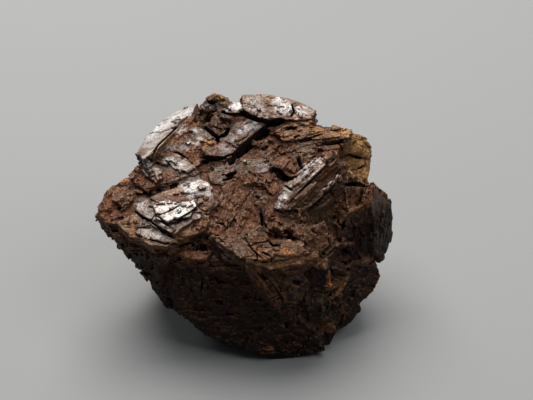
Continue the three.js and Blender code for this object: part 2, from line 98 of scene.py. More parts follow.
# The top, the front and the right side.
# These rows and those of the gaps below are part.mjs's. Their corners were picked by eye in the
# photo, but the numbers in mm were worked out from those picks by a script that isn't kept.
shown = [
  crystal("silver back plate", [-12.3, 13.7, 26.3], [145, 68], 6, 2, [0.3, 180], [
    [9.2, 3.6], [4.2, 3.1], [-4.6, 1.3], [-8.7, -0.8], [-6.7, -2.8], [-4, -3.7], [0.7, -2.8],
    [7.7, 0.5],
  ]),
  crystal("ridge slab", [-10.5, 7.6, 25.8], [-95, 74], 5, 3, [0.3, -60], [
    [-4.8, -6.1], [-2.9, -6.4], [-0.9, -4.9], [2.3, -3.3], [4.1, -0.9], [6.2, 3.5], [5.4, 6.5],
    [3.7, 8.4], [1.3, 7.7], [-2.6, 2.1], [-4.7, -1.1], [-6.4, -4.2],
  ]),
  crystal("mottled flakes", [-11.4, 4.5, 25.5], [-92, 73], 1.6, 2, [0.4, -60], [
    [-3, -3], [-1, -2.4], [1.8, -1.4], [4.7, -0.3], [3.4, 1.5], [0.3, 3.3], [-2.4, 2], [-4, -0.1],
  ]),
  crystal("grey flake", [-2.1, 10, 27.1], [-82, 73], 4, 3, [0.2, -30], [
    [-2.5, 0.5], [-4.9, -1.1], [-4.2, -2.9], [-0.2, -3.5], [2.6, -0.9], [5.9, 1.6], [3.2, 3.8],
    [0.2, 2.6],
  ]),
  crystal("brown shard", [-4.1, 12.8, 28.3], [-105, 60], 3, 2, [0.2, -90], [
    [-2.2, -1.2], [1.5, -2.1], [2.1, -0.9], [1.8, 1], [-0.6, 2], [-2.7, 0.8],
  ]),
  crystal("peak knob", [-5, 15.9, 29.4], [-80, 50], 5, 2, [0.2, -90], [
    [-1, -1.3], [1, -0.9], [2.3, 0.1], [1.5, 1.4], [0.1, 1.6], [-1.6, 0.5], [-2.4, -1.2],
  ]),
  crystal("white patch", [-2, 15.7, 28.9], [-85, 74], 4, 2, [0.2, -90], [
    [-1.2, -1.2], [1.7, -1.2], [1.6, 0.6], [-0.5, 1.3], [-1.7, 0.6],
  ]),
  crystal("back right plate", [5, 15.2, 29.1], [-80, 66], 5, 2, [0.2, -90], [
    [-5.7, 0], [-2.9, -2], [1.3, -2.3], [4.5, -2.8], [5.7, -1.2], [3.7, 0.5], [1.4, 1.7],
    [-2.2, 2.8], [-5.4, 2.8],
  ]),
  crystal("first upper ledge", [9.7, 11.1, 27.4], [-97, 71], 4, 3, [0.4, -80], [
    [-4.1, -2.1], [0.4, -1.3], [5.3, -0.9], [6.4, 1.1], [1, 2.3], [-3.2, 1.5], [-5.5, -0.2],
  ]),
  crystal("second upper ledge", [11.3, 9.2, 26.4], [-97, 70], 4, 3, [0.4, -80], [
    [-1.2, -1.7], [2.6, -0.2], [4.2, 1.5], [0.5, 1.4], [-2.6, 0.2], [-3.6, -1.5],
  ]),
  crystal("third upper ledge", [6.4, 7.9, 25.8], [-95, 70], 4, 3, [0.4, -60], [
    [-2.6, -2.2], [1.8, -1.4], [4.4, 0.4], [2, 1.9], [-0.8, 1.9], [-4.5, -0.5],
  ]),
  crystal("ochre block", [16.9, 10.4, 22.9], [-72, 38], 8, 2, [0.2, -90], [
    [-3.3, -0.9], [-2.1, -3.1], [0.9, -3.8], [2.1, -1.7], [2.8, 0.8], [2.1, 3.1], [0, 4.1],
    [-2.5, 1.5],
  ]),
  crystal("left corner block", [-18.1, 1, 21.9], [-112, 72], 5, 3, [0.1, -60], [
    [-0.7, -4.3], [1, -3.8], [2.3, -0.9], [3.9, 1.5], [2.1, 4], [-1.4, 4.3], [-3.4, 0.7],
    [-3.4, -1.6],
  ]),
  crystal("bright slab", [-9.6, -0.8, 23.4], [-92, 74], 3, 3, [0.5, -80], [
    [-3.6, -3.8], [-0.6, -5.6], [2.8, -2.2], [5, 0.9], [4.5, 3.2], [2.4, 5], [-0.4, 3.3],
    [-3.4, 0.9], [-6.1, -1.4],
  ]),
  crystal("bright flake", [-10.5, -2.3, 23.6], [-92, 75], 1, 2, [0.4, -80], [
    [-2.3, -1], [-0.4, -2.2], [1.3, -1.7], [3.6, 0.2], [2.4, 2.3], [-1.8, 1.9], [-3, 0.6],
  ]),
  crystal("front lobe", [-11, -4.1, 21.7], [-90, 63], 4, 3, [0.3, -90], [
    [-5.8, -1.8], [-2.6, -2.2], [0.6, -2.6], [3.1, -2.1], [5.3, -1.1], [5.7, 0.4], [6.2, 3.1],
    [-0.6, 3.1], [-4.8, 2.6], [-7.3, 0.3],
  ]),
  crystal("lower lobe", [-10.4, -5.5, 19.7], [-92, 45], 3, 3, [0.3, -90], [
    [-4, -0.7], [-1.8, -1.3], [1.4, -1.3], [4, -0.8], [4.9, 0.3], [3.9, 1.5], [-1.9, 1.6],
    [-6.2, 0.4],
  ]),
  crystal("centre hollow", [-0.7, -1.4, 21.8], [-78, 62], 6, 2, [0.3, -90], [
    [-5.3, -2.4], [-3.3, -3.6], [-0.8, -4.3], [2.3, -4.7], [3.6, -0.9], [5.7, 1.9], [4.1, 5],
    [0.9, 5.2], [-2, 4.2], [-5.2, 0.3],
  ]),
  crystal("upper centre shards", [0.8, 3, 24.3], [-88, 70], 4, 2, [0.4, -70], [
    [-4, -1.9], [-1.6, -0.6], [1.6, -0.6], [3.6, -2.4], [4.9, 1.4], [1.7, 2.9], [-1.9, 1.9],
    [-4.3, -0.2],
  ]),
  crystal("centre ledge", [-0.8, 4.5, 25], [-100, 72], 4, 2, [0.4, -70], [
    [-3.8, -2.6], [-2.2, -2.7], [-0.1, -1], [3.3, 0.2], [6.3, 1.7], [2.8, 3.1], [-1, 2.2],
    [-5, -0.9],
  ]),
  crystal("brow ledge", [2.8, -7, 20.5], [-88, 60], 4, 3, [0.3, -90], [
    [-5.5, -0.6], [-2.7, -2.2], [1, -2.7], [5.9, -1.7], [6.4, -0.1], [5.1, 0.5], [0.8, 0.9],
    [-0.3, 3.1], [-3.3, 1.6], [-7.7, 1.7],
  ]),
  crystal("brow shelf", [5.6, -8.9, 19.1], [-90, 48], 2.5, 2, [0.2, -90], [
    [-5.3, -0.7], [-1.7, -1.4], [2.8, -0.7], [4.7, 0.2], [4.8, 1.3], [2.3, 1.2], [-2, -0.3],
    [-5.7, 0.3],
  ]),
  crystal("wedge crystal", [7.2, -5.5, 21.6], [-60, 55], 3, 2, [0.3, -60], [
    [-1.9, 0.6], [-0.4, -1.2], [1, -2.4], [3.2, -1.2], [2.2, 0.7], [-1.1, 1.6], [-3.2, 2],
  ]),
  crystal("post crystal", [3.8, -2.2, 22.6], [-100, 66], 3, 2, [0.3, -90], [
    [-1.3, -0.6], [0.2, -2.7], [2.1, -1.5], [0.7, 0], [0.4, 2.6], [-1.9, 2],
  ]),
  crystal("striated ridge", [8.7, 2.5, 25.3], [-105, 68], 4.5, 5, [0.3, -45], [
    [3.7, 5.7], [1.9, 5.1], [-1, 2.3], [-2.5, 0.1], [-3.3, -2.5], [-3.2, -5.8], [-1.7, -6],
    [0.2, -3.2], [1.8, 0.7], [4, 3.8],
  ]),
  crystal("lower ridge", [11.4, 1.2, 23.6], [-105, 66], 3.5, 3, [0.3, -45], [
    [1.9, 3.6], [0.6, 1.8], [-2.9, -2.6], [-2.2, -3.7], [0.1, -1.2], [2.4, 2.5],
  ]),
  crystal("dark cleavage face", [12.2, 0.5, 19.5], [-48, 22], 6, 2, [0.2, -90], [
    [-4.3, 0.5], [-3.2, -2.3], [-1.4, -5.6], [1.1, -3.1], [3.2, -2.4], [5.4, 2.6], [4.6, 4.4],
    [-0.3, 3], [-4.3, 3.1],
  ]),
  crystal("dark panel", [16.8, 0, 16.7], [-72, 12], 8, 2, [0.2, -90], [
    [-2.9, -2.9], [-0.9, -5], [3, -4.4], [3.2, 1.2], [2.1, 4.6], [-1.2, 3.8], [-3.2, 1.9],
  ]),
  crystal("right shoulder", [18.7, 4.6, 19.7], [-35, 35], 6, 2, [0.3, -60], [
    [-5.1, 0.7], [-0.4, -0.7], [1.3, -3.2], [2.9, -2], [2.8, -0.1], [1.6, 1.3], [-3.3, 4.1],
  ]),
  crystal("right outer sheets", [20.7, 2.4, 16.5], [-32, 8], 6, 3, [0.3, 0], [
    [-2.5, 5.1], [-2.1, 1.8], [-2.8, -2.9], [-1.4, -6.6], [1.3, -5.9], [3.2, -4.2], [3.5, 0.2],
    [2.4, 4], [-0.9, 7.3],
  ]),
  crystal("tan notch", [10.7, -7.4, 17.7], [-80, 40], 3, 2, [0.2, -90], [
    [-1.1, -0.6], [0.8, -1.7], [1.5, -0.4], [0.3, 1.5], [-1.2, 1.1],
  ]),
  crystal("lower right block", [16.6, -2.3, 9.6], [-62, 15], 7, 3, [0.3, -60], [
    [-3.7, 1.2], [-2.7, -1.9], [0.2, -4.6], [3.2, -3.4], [4.4, -1], [3.5, 2.4], [-0.4, 2.4],
    [-4, 4.4],
  ]),
  crystal("foot block", [15.2, -4.6, 4.6], [-70, 15], 7, 3, [0.3, -90], [
    [-2.6, 0], [-1.9, -3], [0.3, -2], [2.6, -0.4], [2.4, 1.8], [-0.8, 3.3],
  ]),
  crystal("toe block", [11.3, -7, 2.8], [-68, 8], 6, 2, [0.2, 90], [
    [-2.4, 1.4], [-2.2, -2.8], [0.8, -3.9], [2.7, -1], [2, 2.7], [-0.7, 3.1],
  ]),
  crystal("slotted block", [10.9, -7, 10.8], [-85, 12], 6, 2, [0.3, -90], [
    [-2.1, -0.8], [-1.7, -4.6], [1.6, -4.2], [1.9, 0.6], [1.6, 4.4], [-1.4, 4.5],
  ]),
  crystal("leaning sheets", [6.5, -9.3, 14.3], [-78, 20], 5, 3, [0.3, -150], [
    [-2.3, -0.4], [-0.7, -3.2], [1.9, -2.6], [3.1, -0.1], [1.6, 2.4], [-3.6, 3.5],
  ]),
  crystal("leaning edge", [2.7, -9.8, 14.8], [-95, 8], 5, 3, [0.3, -150], [
    [-2, 1.1], [-0.5, -1.6], [2.1, -3.9], [3.4, -2.7], [0, 3.2], [-2.9, 3.7],
  ]),
  crystal("left flank", [-15.8, -4.6, 16], [-124, 2], 6, 2, [0.2, -90], [
    [-4.2, 1.1], [-1.9, -1.4], [1.8, -4.3], [3.6, -5.7], [4.9, 1.4], [2.5, 3.2], [-1.6, 2.6],
    [-5.4, 3],
  ]),
  crystal("left wall", [-10.2, -6.2, 12.4], [-110, 6], 6, 2, [0.3, -90], [
    [-4.2, -2.2], [-1.8, -5.4], [1.9, -6.9], [5.4, -1.6], [5, 5.8], [-1, 5.6], [-5.4, 4],
  ]),
  crystal("front wall", [-3.1, -8, 9.6], [-94, 10], 6, 2, [0.2, 90], [
    [-7.8, 0.4], [-5.5, -3.5], [-2.9, -5.8], [1.3, -7.6], [8.3, -7.5], [9.1, -1.8], [5.8, 3.3],
    [2.3, 7.5], [-2.9, 7.9], [-7.6, 7],
  ]),
  crystal("front foot", [5.9, -9.4, 3.4], [-86, 10], 5, 2, [0.2, 90], [
    [-6.1, -1.3], [-1.7, -3.4], [2.2, -2.9], [6, -2.2], [4.9, 1], [2.2, 4.1], [-2.2, 3], [-5.3, 1],
  ]),
  crystal("middle shard", [6.2, 5.1, 25.5], [-70, 55], 2.5, 2, [0.3, -60], [
    [-1.7, -1.6], [1.1, -1.4], [2.2, 0.2], [1, 1.8], [-2.4, 1.1],
  ]),
  crystal("block below the ridge", [6.3, -2.7, 21.9], [-95, 40], 2.5, 2, [0.2, -90], [
    [-1.8, -0.6], [0, -1.4], [2.1, -0.5], [1.6, 1.5], [-1.9, 1.1],
  ]),
  crystal("plate beside the brow", [10.8, -5.3, 20.3], [-60, 42], 3, 2, [0.2, -60], [
    [-2, -0.5], [-0.4, -1.9], [2.3, -1.2], [1.7, 1.8], [-1.6, 2],
  ]),
  crystal("left rim chip", [-17.5, 1.2, 22.6], [-100, 78], 1.5, 2, [0.3, -90], [
    [0.2, -2.1], [2.1, 0.5], [-0.1, 2.6], [-2.3, -0.7],
  ]),
  crystal("left lower layer", [-18, -3.3, 19.7], [-118, 45], 3, 2, [0.3, -90], [
    [-1, -1.1], [1.9, -1.1], [2.6, 0.5], [-1, 1.4], [-2.8, 0.3],
  ]),
]


def random_stream(seed):
    """The solid's own repeatable stream of numbers from 0 to 1."""
    state = seed
    while True:
        state = (state * 1664525 + 1013904223) % 4294967296
        yield state / 4294967296


def rhomb(length, width, spin, seed):
    """Outline of a leaning rhomb with its four corners broken off, as in the solid."""
    random = random_stream(seed)
    lean = 0.5 * (next(random) - 0.5)
    c, s = math.cos(math.radians(spin)), math.sin(math.radians(spin))
    outline = []
    for i, (x, y) in enumerate([(1, -1), (1, 1), (-1, 1), (-1, -1)]):
        chip = (0.08 + 0.3 * next(random) ** 2) * width
        on_end = (x * length / 2, y * (width / 2 - chip))
        on_side = (x * (length / 2 - chip), y * width / 2)
        for u, v in ([on_side, on_end] if i % 2 == 0 else [on_end, on_side]):
            outline.append([(u + lean * v) * c - v * s, (u + lean * v) * s + v * c])
    return outline


# The foot and the flanks under the overhangs.
under = [
  crystal("resting face", [2, 1, 0], [-90, -90], 3, 2, [0.4, 90], [
    [-8.5, -3], [-6, -7], [0, -9.3], [6, -8], [9.5, -3.5], [10, 3], [6.5, 9.3], [1, 10.2],
    [-5.5, 7.6], [-9, 3],
  ]),
  crystal("left flank low", [-9, 0, 6.5], [-150, -38], 6, 2, [0.3, 90], rhomb(10, 8, 20, 11)),
  crystal("left flank back", [-16, 4.5, 14.5], [-175, -22], 6, 3, [0.3, 90], rhomb(11, 8, 50, 12)),
  crystal("right flank low", [16.5, 0, 7], [-25, -15], 6, 2, [0.3, 90], rhomb(10, 9, 30, 21)),
]


def hollow(name, face, looks, depth, outline):
    """A gap, which is the room of a crystal of a single sheet."""
    return crystal(name, face, looks, depth, 1, [0, 0], outline)


# Gaps between the crystals, cut out of the stone.
hollows = [
  hollow("crevice beside the grey flake", [0.6, 9.2, 27], [-82, 73], 3.2, [
    [2.9, 3], [0.6, 1.1], [-1.6, -0.9], [-4.1, -3.1], [-2.8, -3.1], [-0.7, -1], [2.1, 1.1],
    [3.6, 2.5],
  ]),
  hollow("hollow below the peak", [-6.7, 13.8, 28.5], [-90, 60], 3, [
    [-0.3, -1.2], [1.2, -0.9], [1.7, 0.4], [0.1, 1.3], [-1.2, 0.9], [-1.8, -0.6],
  ]),
  hollow("undercut of the ochre block", [16.6, 6.6, 20.1], [-75, 20], 3, [
    [-1.9, -0.1], [-0.7, -1.1], [2.1, -0.6], [1.9, 0.7], [-1.6, 1.1],
  ]),
  hollow("recess beside the dark panel", [14.6, -0.8, 15.6], [-70, 12], 2.5, [
    [-0.9, -0.7], [-0.1, -3.5], [1.1, -2.6], [0.7, -0.4], [0.4, 3.4], [-0.7, 3.6],
  ]),
  hollow("slot", [12.6, -6.2, 7.9], [-75, 10], 3, [
    [-0.5, -2], [0.6, -2.2], [0.5, 1.9], [-0.4, 2.1],
  ]),
  hollow("wedge crack", [6.3, -6, 21.5], [-85, 60], 3, [
    [-0.8, 0.1], [0.6, -1.2], [1.4, -0.8], [0.1, 0.8], [-1.2, 1.2],
  ]),
  hollow("dark pit", [-2.4, 3.6, 24.9], [-90, 70], 2.2, [
    [-0.9, -1.1], [0.3, -0.6], [1.4, 0.7], [1.1, 1.2], [-0.5, 0.7], [-1.3, -0.6],
  ]),
  hollow("crack beside the front lobe", [-6.6, -6.3, 20.6], [-95, 55], 2.5, [
    [-1, -1.3], [0.4, -1], [1.4, 1], [0.5, 1.4], [-1.4, -0.2],
  ]),
]

# Flakes and chips on the crystals: name, the way the face looks, how far it stands out, its
# corners in the picture, depth, sheets, how the sheets step, colour and gleam. White and silver
# are partly painted sheen, beside their metallic gloss.
flake_picks = [
    ("upper white flake", [-93, 75], -0.18, [[152, 203], [160, 199], [179, 200], [177, 205],
     [170, 210], [162, 213], [155, 212]], 0.9, 2, [0.1, -80], "white", 1),
    ("lower white flake", [-91, 74], -0.12, [[158, 214], [170, 209], [180, 204], [192, 199],
     [197, 206], [191, 214], [183, 216], [173, 221], [166, 220]], 0.9, 2, [0.1, -80], "white", 1),
    ("white strip", [-92, 74], -0.1, [[154, 216], [160, 215], [168, 222], [174, 224], [171, 226],
     [163, 224], [155, 219]], 0.6, 1, [0.1, -80], "white", 0.95),
    ("low white strip", [-92, 72], 0.03, [[154, 220], [158, 222], [165, 226], [173, 224],
     [171, 232], [165, 230], [158, 227]], 0.6, 1, [0.1, -80], "white", 0.95),
    ("left grey flake", [-98, 74], 0.08, [[134, 209], [137, 201], [148, 197], [153, 203],
     [156, 213], [150, 219], [142, 215]], 1.2, 2, [0.1, -60], "silver", 0.45),
    ("upper right flake", [-90, 74], 0.05, [[180, 190], [186, 186], [192, 180], [200, 178],
     [205, 181], [210, 184], [206, 188], [194, 190], [188, 193]], 0.9, 2, [0.1, -60], "silver", 0.75),
    ("small white chip", [-90, 74], 0.1, [[172, 190], [178, 186], [183, 187], [180, 191],
     [175, 192]], 0.6, 1, [0.1, -60], "white", 0.9),
    ("right grey chip", [-85, 72], 0.06, [[190, 216], [198, 207], [202, 212], [201, 218],
     [192, 220]], 0.7, 1, [0.1, -60], "silver", 0.5),
    ("upper pale flake", [-93, 75], 0.1, [[150, 197], [165, 189], [178, 185], [186, 192],
     [180, 199], [158, 199]], 0.9, 2, [0.1, -80], "pink tan", 0.6),
    ("right pale flake", [-90, 72], 0.1, [[192, 200], [203, 195], [214, 194], [216, 202],
     [206, 211], [198, 207]], 0.9, 2, [0.1, -60], "pink tan", 0.5),
    ("lower tan flake", [-90, 70], 0.08, [[176, 222], [189, 219], [200, 218], [204, 226],
     [196, 233], [183, 236], [173, 232]], 0.9, 2, [0.1, -80], "tan", 0.4),
    ("lower pale flake", [-93, 70], 0.08, [[140, 238], [150, 237], [163, 238], [172, 236],
     [178, 241], [166, 246], [150, 245]], 0.8, 2, [0.1, -80], "pink tan", 0.5),
    ("grey step", [-95, 70], 0.1, [[136, 232], [138, 222], [142, 219], [147, 222], [150, 226],
     [157, 231], [163, 234], [156, 238], [147, 236], [140, 235]], 0.8, 2, [0.1, -80], "silver", 0.7),
    ("pale flake", [-92, 73], 0.3, [[189, 128], [196, 125], [205, 128], [214, 134], [216, 139],
     [208, 142], [196, 141], [190, 135]], 1, 2, [0.1, -60], "grey", 0.6),
    ("bright chip", [-92, 75], 0.3, [[178, 142], [186, 141], [192, 142], [199, 145], [196, 149],
     [188, 147], [180, 146]], 0.6, 1, [0.1, -60], "white", 0.8),
    ("mottled chip left", [-92, 74], -0.02, [[141, 168], [150, 163], [159, 168], [164, 177],
     [156, 180], [147, 176]], 0.6, 2, [0.1, -60], "silver", 0.55),
    ("mottled chip right", [-92, 74], -0.05, [[163, 157], [176, 153], [189, 159], [194, 167],
     [183, 170], [172, 165]], 0.6, 2, [0.1, -60], "silver", 0.45),
    ("mottled chip back", [-92, 74], 0.05, [[152, 150], [162, 145], [168, 148], [164, 154],
     [154, 157]], 0.6, 2, [0.1, -60], "pink tan", 0.5),
    ("white crown", [-85, 74], 0.25, [[222, 108], [228, 103], [241, 103], [243, 106], [239, 109],
     [230, 110]], 0.8, 1, [0.1, -60], "white", 0.8),
    ("plate rim", [-82, 68], 0.1, [[268, 98], [276, 96], [288, 98], [293, 105], [292, 112],
     [282, 110], [273, 104]], 0.7, 1, [0.1, -60], "white", 0.8),
    ("plate end", [-78, 66], 0.1, [[295, 105], [303, 103], [312, 107], [309, 113], [304, 118],
     [295, 114]], 0.7, 1, [0.1, -60], "white", 0.8),
    ("plate middle", [-80, 62], 0.2, [[248, 110], [256, 101], [268, 102], [278, 108], [286, 115],
     [282, 119], [268, 119], [254, 115]], 0.8, 2, [0.1, -80], "pink tan", 0.6),
    ("light grey block", [-95, 60], 0.6, [[211, 164], [214, 160], [219, 161], [219, 166],
     [214, 169]], 1.5, 1, [0.1, -60], "grey", 0.4),
    ("white shard", [-88, 72], 0.3, [[243, 161], [247, 157], [252, 159], [251, 163], [245, 163]],
     0.7, 1, [0.1, -60], "white", 0.8),
    ("blue grey shard", [-92, 70], 0.2, [[228, 167], [233, 161], [241, 162], [245, 167], [238, 170],
     [231, 171]], 0.9, 2, [0.1, -60], "blue grey", 0.5),
    ("tan block left", [-98, 66], 0.5, [[268, 166], [275, 160], [285, 154], [290, 158], [284, 166],
     [277, 171]], 1.5, 2, [0.1, -60], "brown", 0.3),
    ("tan block right", [-98, 64], 0.6, [[285, 164], [291, 156], [299, 151], [304, 156], [301, 164],
     [294, 172], [288, 170]], 1.5, 2, [0.1, -60], "brown", 0.3),
    ("ridge lamella 1", [-106, 67], 0.1, [[279, 187], [290, 180], [302, 172], [311, 165],
     [318, 159], [326, 155], [330, 157], [320, 166], [308, 175], [297, 185], [289, 190],
     [283, 188]], 1.4, 2, [0.1, -45], "silver", 0.85),
    ("ridge lamella 2", [-106, 66], 0.06, [[276, 206], [279, 196], [284, 190], [290, 192],
     [296, 188], [306, 179], [316, 170], [324, 163], [326, 165], [316, 174], [305, 185], [296, 194],
     [288, 202], [283, 208]], 1.4, 2, [0.1, -45], "silver", 0.75),
    ("ridge lamella 3", [-105, 66], 0.05, [[286, 208], [296, 198], [306, 188], [314, 180],
     [316, 182], [305, 193], [295, 203], [288, 210]], 1.2, 1, [0.1, -45], "pink tan", 0.75),
    ("ridge lamella 4", [-105, 65], 0.05, [[292, 210], [301, 201], [311, 190], [318, 183],
     [320, 185], [312, 194], [303, 204], [295, 212]], 1.2, 1, [0.1, -45], "pink tan", 0.7),
    ("thin bright line", [-100, 62], 0.3, [[322, 190], [328, 184], [334, 178], [338, 174],
     [340, 176], [335, 183], [327, 191]], 0.9, 1, [0.1, -45], "silver", 0.9),
    ("pale sliver", [-90, 50], 0.35, [[300, 224], [303, 218], [306, 212], [309, 214], [306, 220],
     [303, 225]], 0.8, 1, [0.1, -45], "tan", 0.4),
    ("brow plate", [-88, 62], 0.25, [[268, 247], [283, 243], [300, 240], [304, 243], [310, 249],
     [303, 252], [290, 256], [280, 255], [271, 253]], 0.8, 2, [0.1, -90], "tan", 0.35),
    ("brow plate left", [-95, 60], 0.2, [[256, 252], [262, 249], [268, 247], [275, 253], [272, 258],
     [264, 258]], 0.7, 2, [0.1, -90], "tan", 0.3),
    ("smooth dark facet", [-75, 58], 0.2, [[247, 197], [255, 187], [262, 190], [262, 204],
     [253, 212], [247, 206]], 0.8, 1, [0.1, -90], "chocolate", 0.3),
    ("post front", [-98, 58], 0.35, [[262, 198], [270, 196], [274, 205], [272, 214], [266, 222],
     [262, 212]], 1, 2, [0.1, -90], "brown", 0.4),
    ("brown facet", [-66, 50], 0.25, [[290, 229], [300, 226], [310, 229], [318, 233], [313, 240],
     [303, 243], [297, 238]], 0.9, 2, [0.1, -60], "brown", 0.3),
    ("white-edged flake", [-110, 50], 0.35, [[213, 240], [218, 240], [227, 249], [223, 251],
     [216, 246]], 0.6, 1, [0.1, -90], "pink tan", 0.6),
    ("low brown plate", [-92, 62], 0.2, [[232, 240], [243, 239], [254, 249], [250, 256], [240, 255],
     [231, 249]], 0.7, 2, [0.1, -90], "brown", 0.4),
    ("corner layer", [-112, 70], 0.25, [[101, 200], [106, 192], [116, 187], [122, 196], [116, 206],
     [106, 212]], 1, 2, [0.1, -90], "red brown", 0.15),
    ("corner low layer", [-112, 66], 0.2, [[112, 216], [120, 208], [130, 208], [133, 218],
     [126, 227], [119, 224]], 0.8, 2, [0.1, -90], "red brown", 0.2),
    ("knob top", [-85, 50], 0.3, [[206, 97], [213, 93], [221, 94], [224, 98], [217, 100],
     [209, 100]], 1, 1, [0.1, -90], "tan", 0.3),
    ("rust ledge", [-97, 68], 0.25, [[306, 137], [320, 131], [338, 131], [345, 135], [330, 137],
     [315, 139]], 0.8, 2, [0.1, -90], "tan", 0.3),
    ("ochre chip", [-74, 44], 0.12, [[345, 140], [355, 136], [364, 142], [362, 152], [350, 154],
     [344, 148]], 0.9, 2, [0.1, -90], "ochre", 0.15),
    ("foot knob", [-80, 18], 0.5, [[322, 331], [327, 326], [334, 323], [337, 331], [331, 336]], 1.5,
     1, [0.1, -90], "tan", 0.2),
    ("panel chip", [-65, 20], 0.4, [[363, 258], [370, 256], [373, 262], [367, 267], [362, 264]], 1,
     1, [0.1, -90], "tan", 0.2),
    ("shelf chip", [-85, 20], 0.3, [[344, 266], [352, 262], [362, 260], [361, 264], [350, 269]], 1,
     1, [0.1, -90], "tan", 0.2),
    ("low ledge", [-95, 30], 0.5, [[172, 264], [182, 261], [196, 260], [203, 262], [196, 265],
     [180, 267]], 1.2, 2, [0.1, -90], "tan", 0.3),
]

# Cracks: the way the face looks that they cut, half their width, their depth, and their line in
# the picture.
crack_picks = [
    ([-92, 74], 0.11, 1, [[135, 210], [140, 215], [146, 219], [150, 219], [155, 223], [160, 228],
     [166, 232], [171, 233], [176, 228]]),
    ([-92, 74], 0.07, 0.7, [[158, 214], [168, 210], [173, 208], [181, 202]]),
    ([-92, 74], 0.07, 0.7, [[155, 214], [160, 218], [165, 223], [171, 226]]),
    ([-92, 74], 0.09, 0.8, [[170, 222], [177, 220], [183, 216], [190, 213], [196, 206]]),
    ([-92, 74], 0.07, 0.6, [[136, 227], [142, 226], [149, 227]]),
    ([-92, 74], 0.07, 0.6, [[189, 200], [194, 197], [204, 195]]),
    ([-92, 74], 0.07, 0.5, [[182, 194], [189, 191]]),
    ([-92, 74], 0.07, 0.5, [[191, 229], [195, 223]]),
    ([-92, 74], 0.13, 1.2, [[168, 150], [178, 152], [186, 157], [192, 161]]),
    ([-95, 70], 0.22, 1.6, [[152, 155], [160, 142], [170, 133], [185, 118], [191, 112]]),
    ([-85, 66], 0.2, 1.4, [[240, 111], [248, 115], [257, 119], [267, 122]]),
    ([-80, 64], 0.14, 0.9, [[292, 104], [294, 111], [291, 116]]),
    ([-98, 68], 0.16, 1.2, [[285, 184], [292, 190]]),
    ([-72, 40], 0.16, 0.9, [[349, 155], [356, 157], [364, 158]]),
    ([-72, 40], 0.12, 0.7, [[352, 170], [360, 168], [366, 165]]),
    ([-88, 60], 0.12, 0.8, [[267, 239], [273, 245], [279, 245]]),
    ([-88, 60], 0.07, 0.5, [[241, 236], [247, 241], [253, 250], [262, 258]]),
    ([-88, 60], 0.1, 0.6, [[262, 252], [270, 256]]),
    ([-80, 60], 0.16, 1, [[261, 212], [262, 222], [262, 234]]),
    ([-95, 60], 0.14, 1, [[190, 240], [196, 236], [205, 234]]),
    ([-92, 50], 0.12, 0.8, [[150, 240], [165, 245], [180, 246], [192, 243]]),
    ([-80, 60], 0.12, 0.8, [[312, 230], [318, 234]]),
    ([-95, 68], 0.18, 1.2, [[277, 176], [286, 178], [296, 176]]),
    ([-97, 68], 0.16, 1, [[322, 143], [335, 142], [347, 139]]),
    ([-97, 68], 0.12, 0.8, [[300, 141], [312, 137], [322, 134]]),
    ([-85, 10], 0.09, 0.6, [[262, 268], [269, 281], [277, 291], [284, 305]]),
    ([-85, 10], 0.07, 0.4, [[253, 267], [261, 277], [272, 291]]),
    ([-82, 73], 0.36, 2.4, [[270, 124], [262, 132], [250, 142], [240, 150], [232, 157]]),
    ([-92, 66], 0.36, 2.2, [[204, 127], [210, 131], [217, 136], [225, 134], [229, 126]]),
    ([-90, 70], 0.3, 1.8, [[216, 134], [218, 141]]),
    ([-92, 70], 0.16, 1.2, [[199, 156], [212, 156], [224, 159], [236, 159]]),
    ([-92, 70], 0.3, 1.6, [[202, 165], [208, 161]]),
    ([-90, 68], 0.3, 1.8, [[270, 122], [276, 124], [283, 124]]),
    ([-88, 66], 0.32, 1.8, [[287, 128], [295, 127]]),
    ([-92, 66], 0.26, 1.6, [[297, 158], [301, 165]]),
    ([-92, 66], 0.34, 2, [[272, 169], [280, 172], [289, 176]]),
    ([-92, 66], 0.2, 1.4, [[262, 150], [274, 149], [281, 145]]),
    ([-80, 40], 0.3, 2, [[345, 185], [356, 184], [368, 186]]),
    ([-88, 50], 0.3, 1.6, [[208, 102], [216, 104], [226, 107]]),
    ([-100, 72], 0.2, 1.2, [[148, 158], [156, 162], [166, 163]]),
    ([-105, 66], 0.08, 0.7, [[287, 204], [301, 190], [316, 175], [329, 163]]),
    ([-100, 60], 0.16, 1, [[303, 213], [315, 203], [327, 192], [338, 181]]),
]
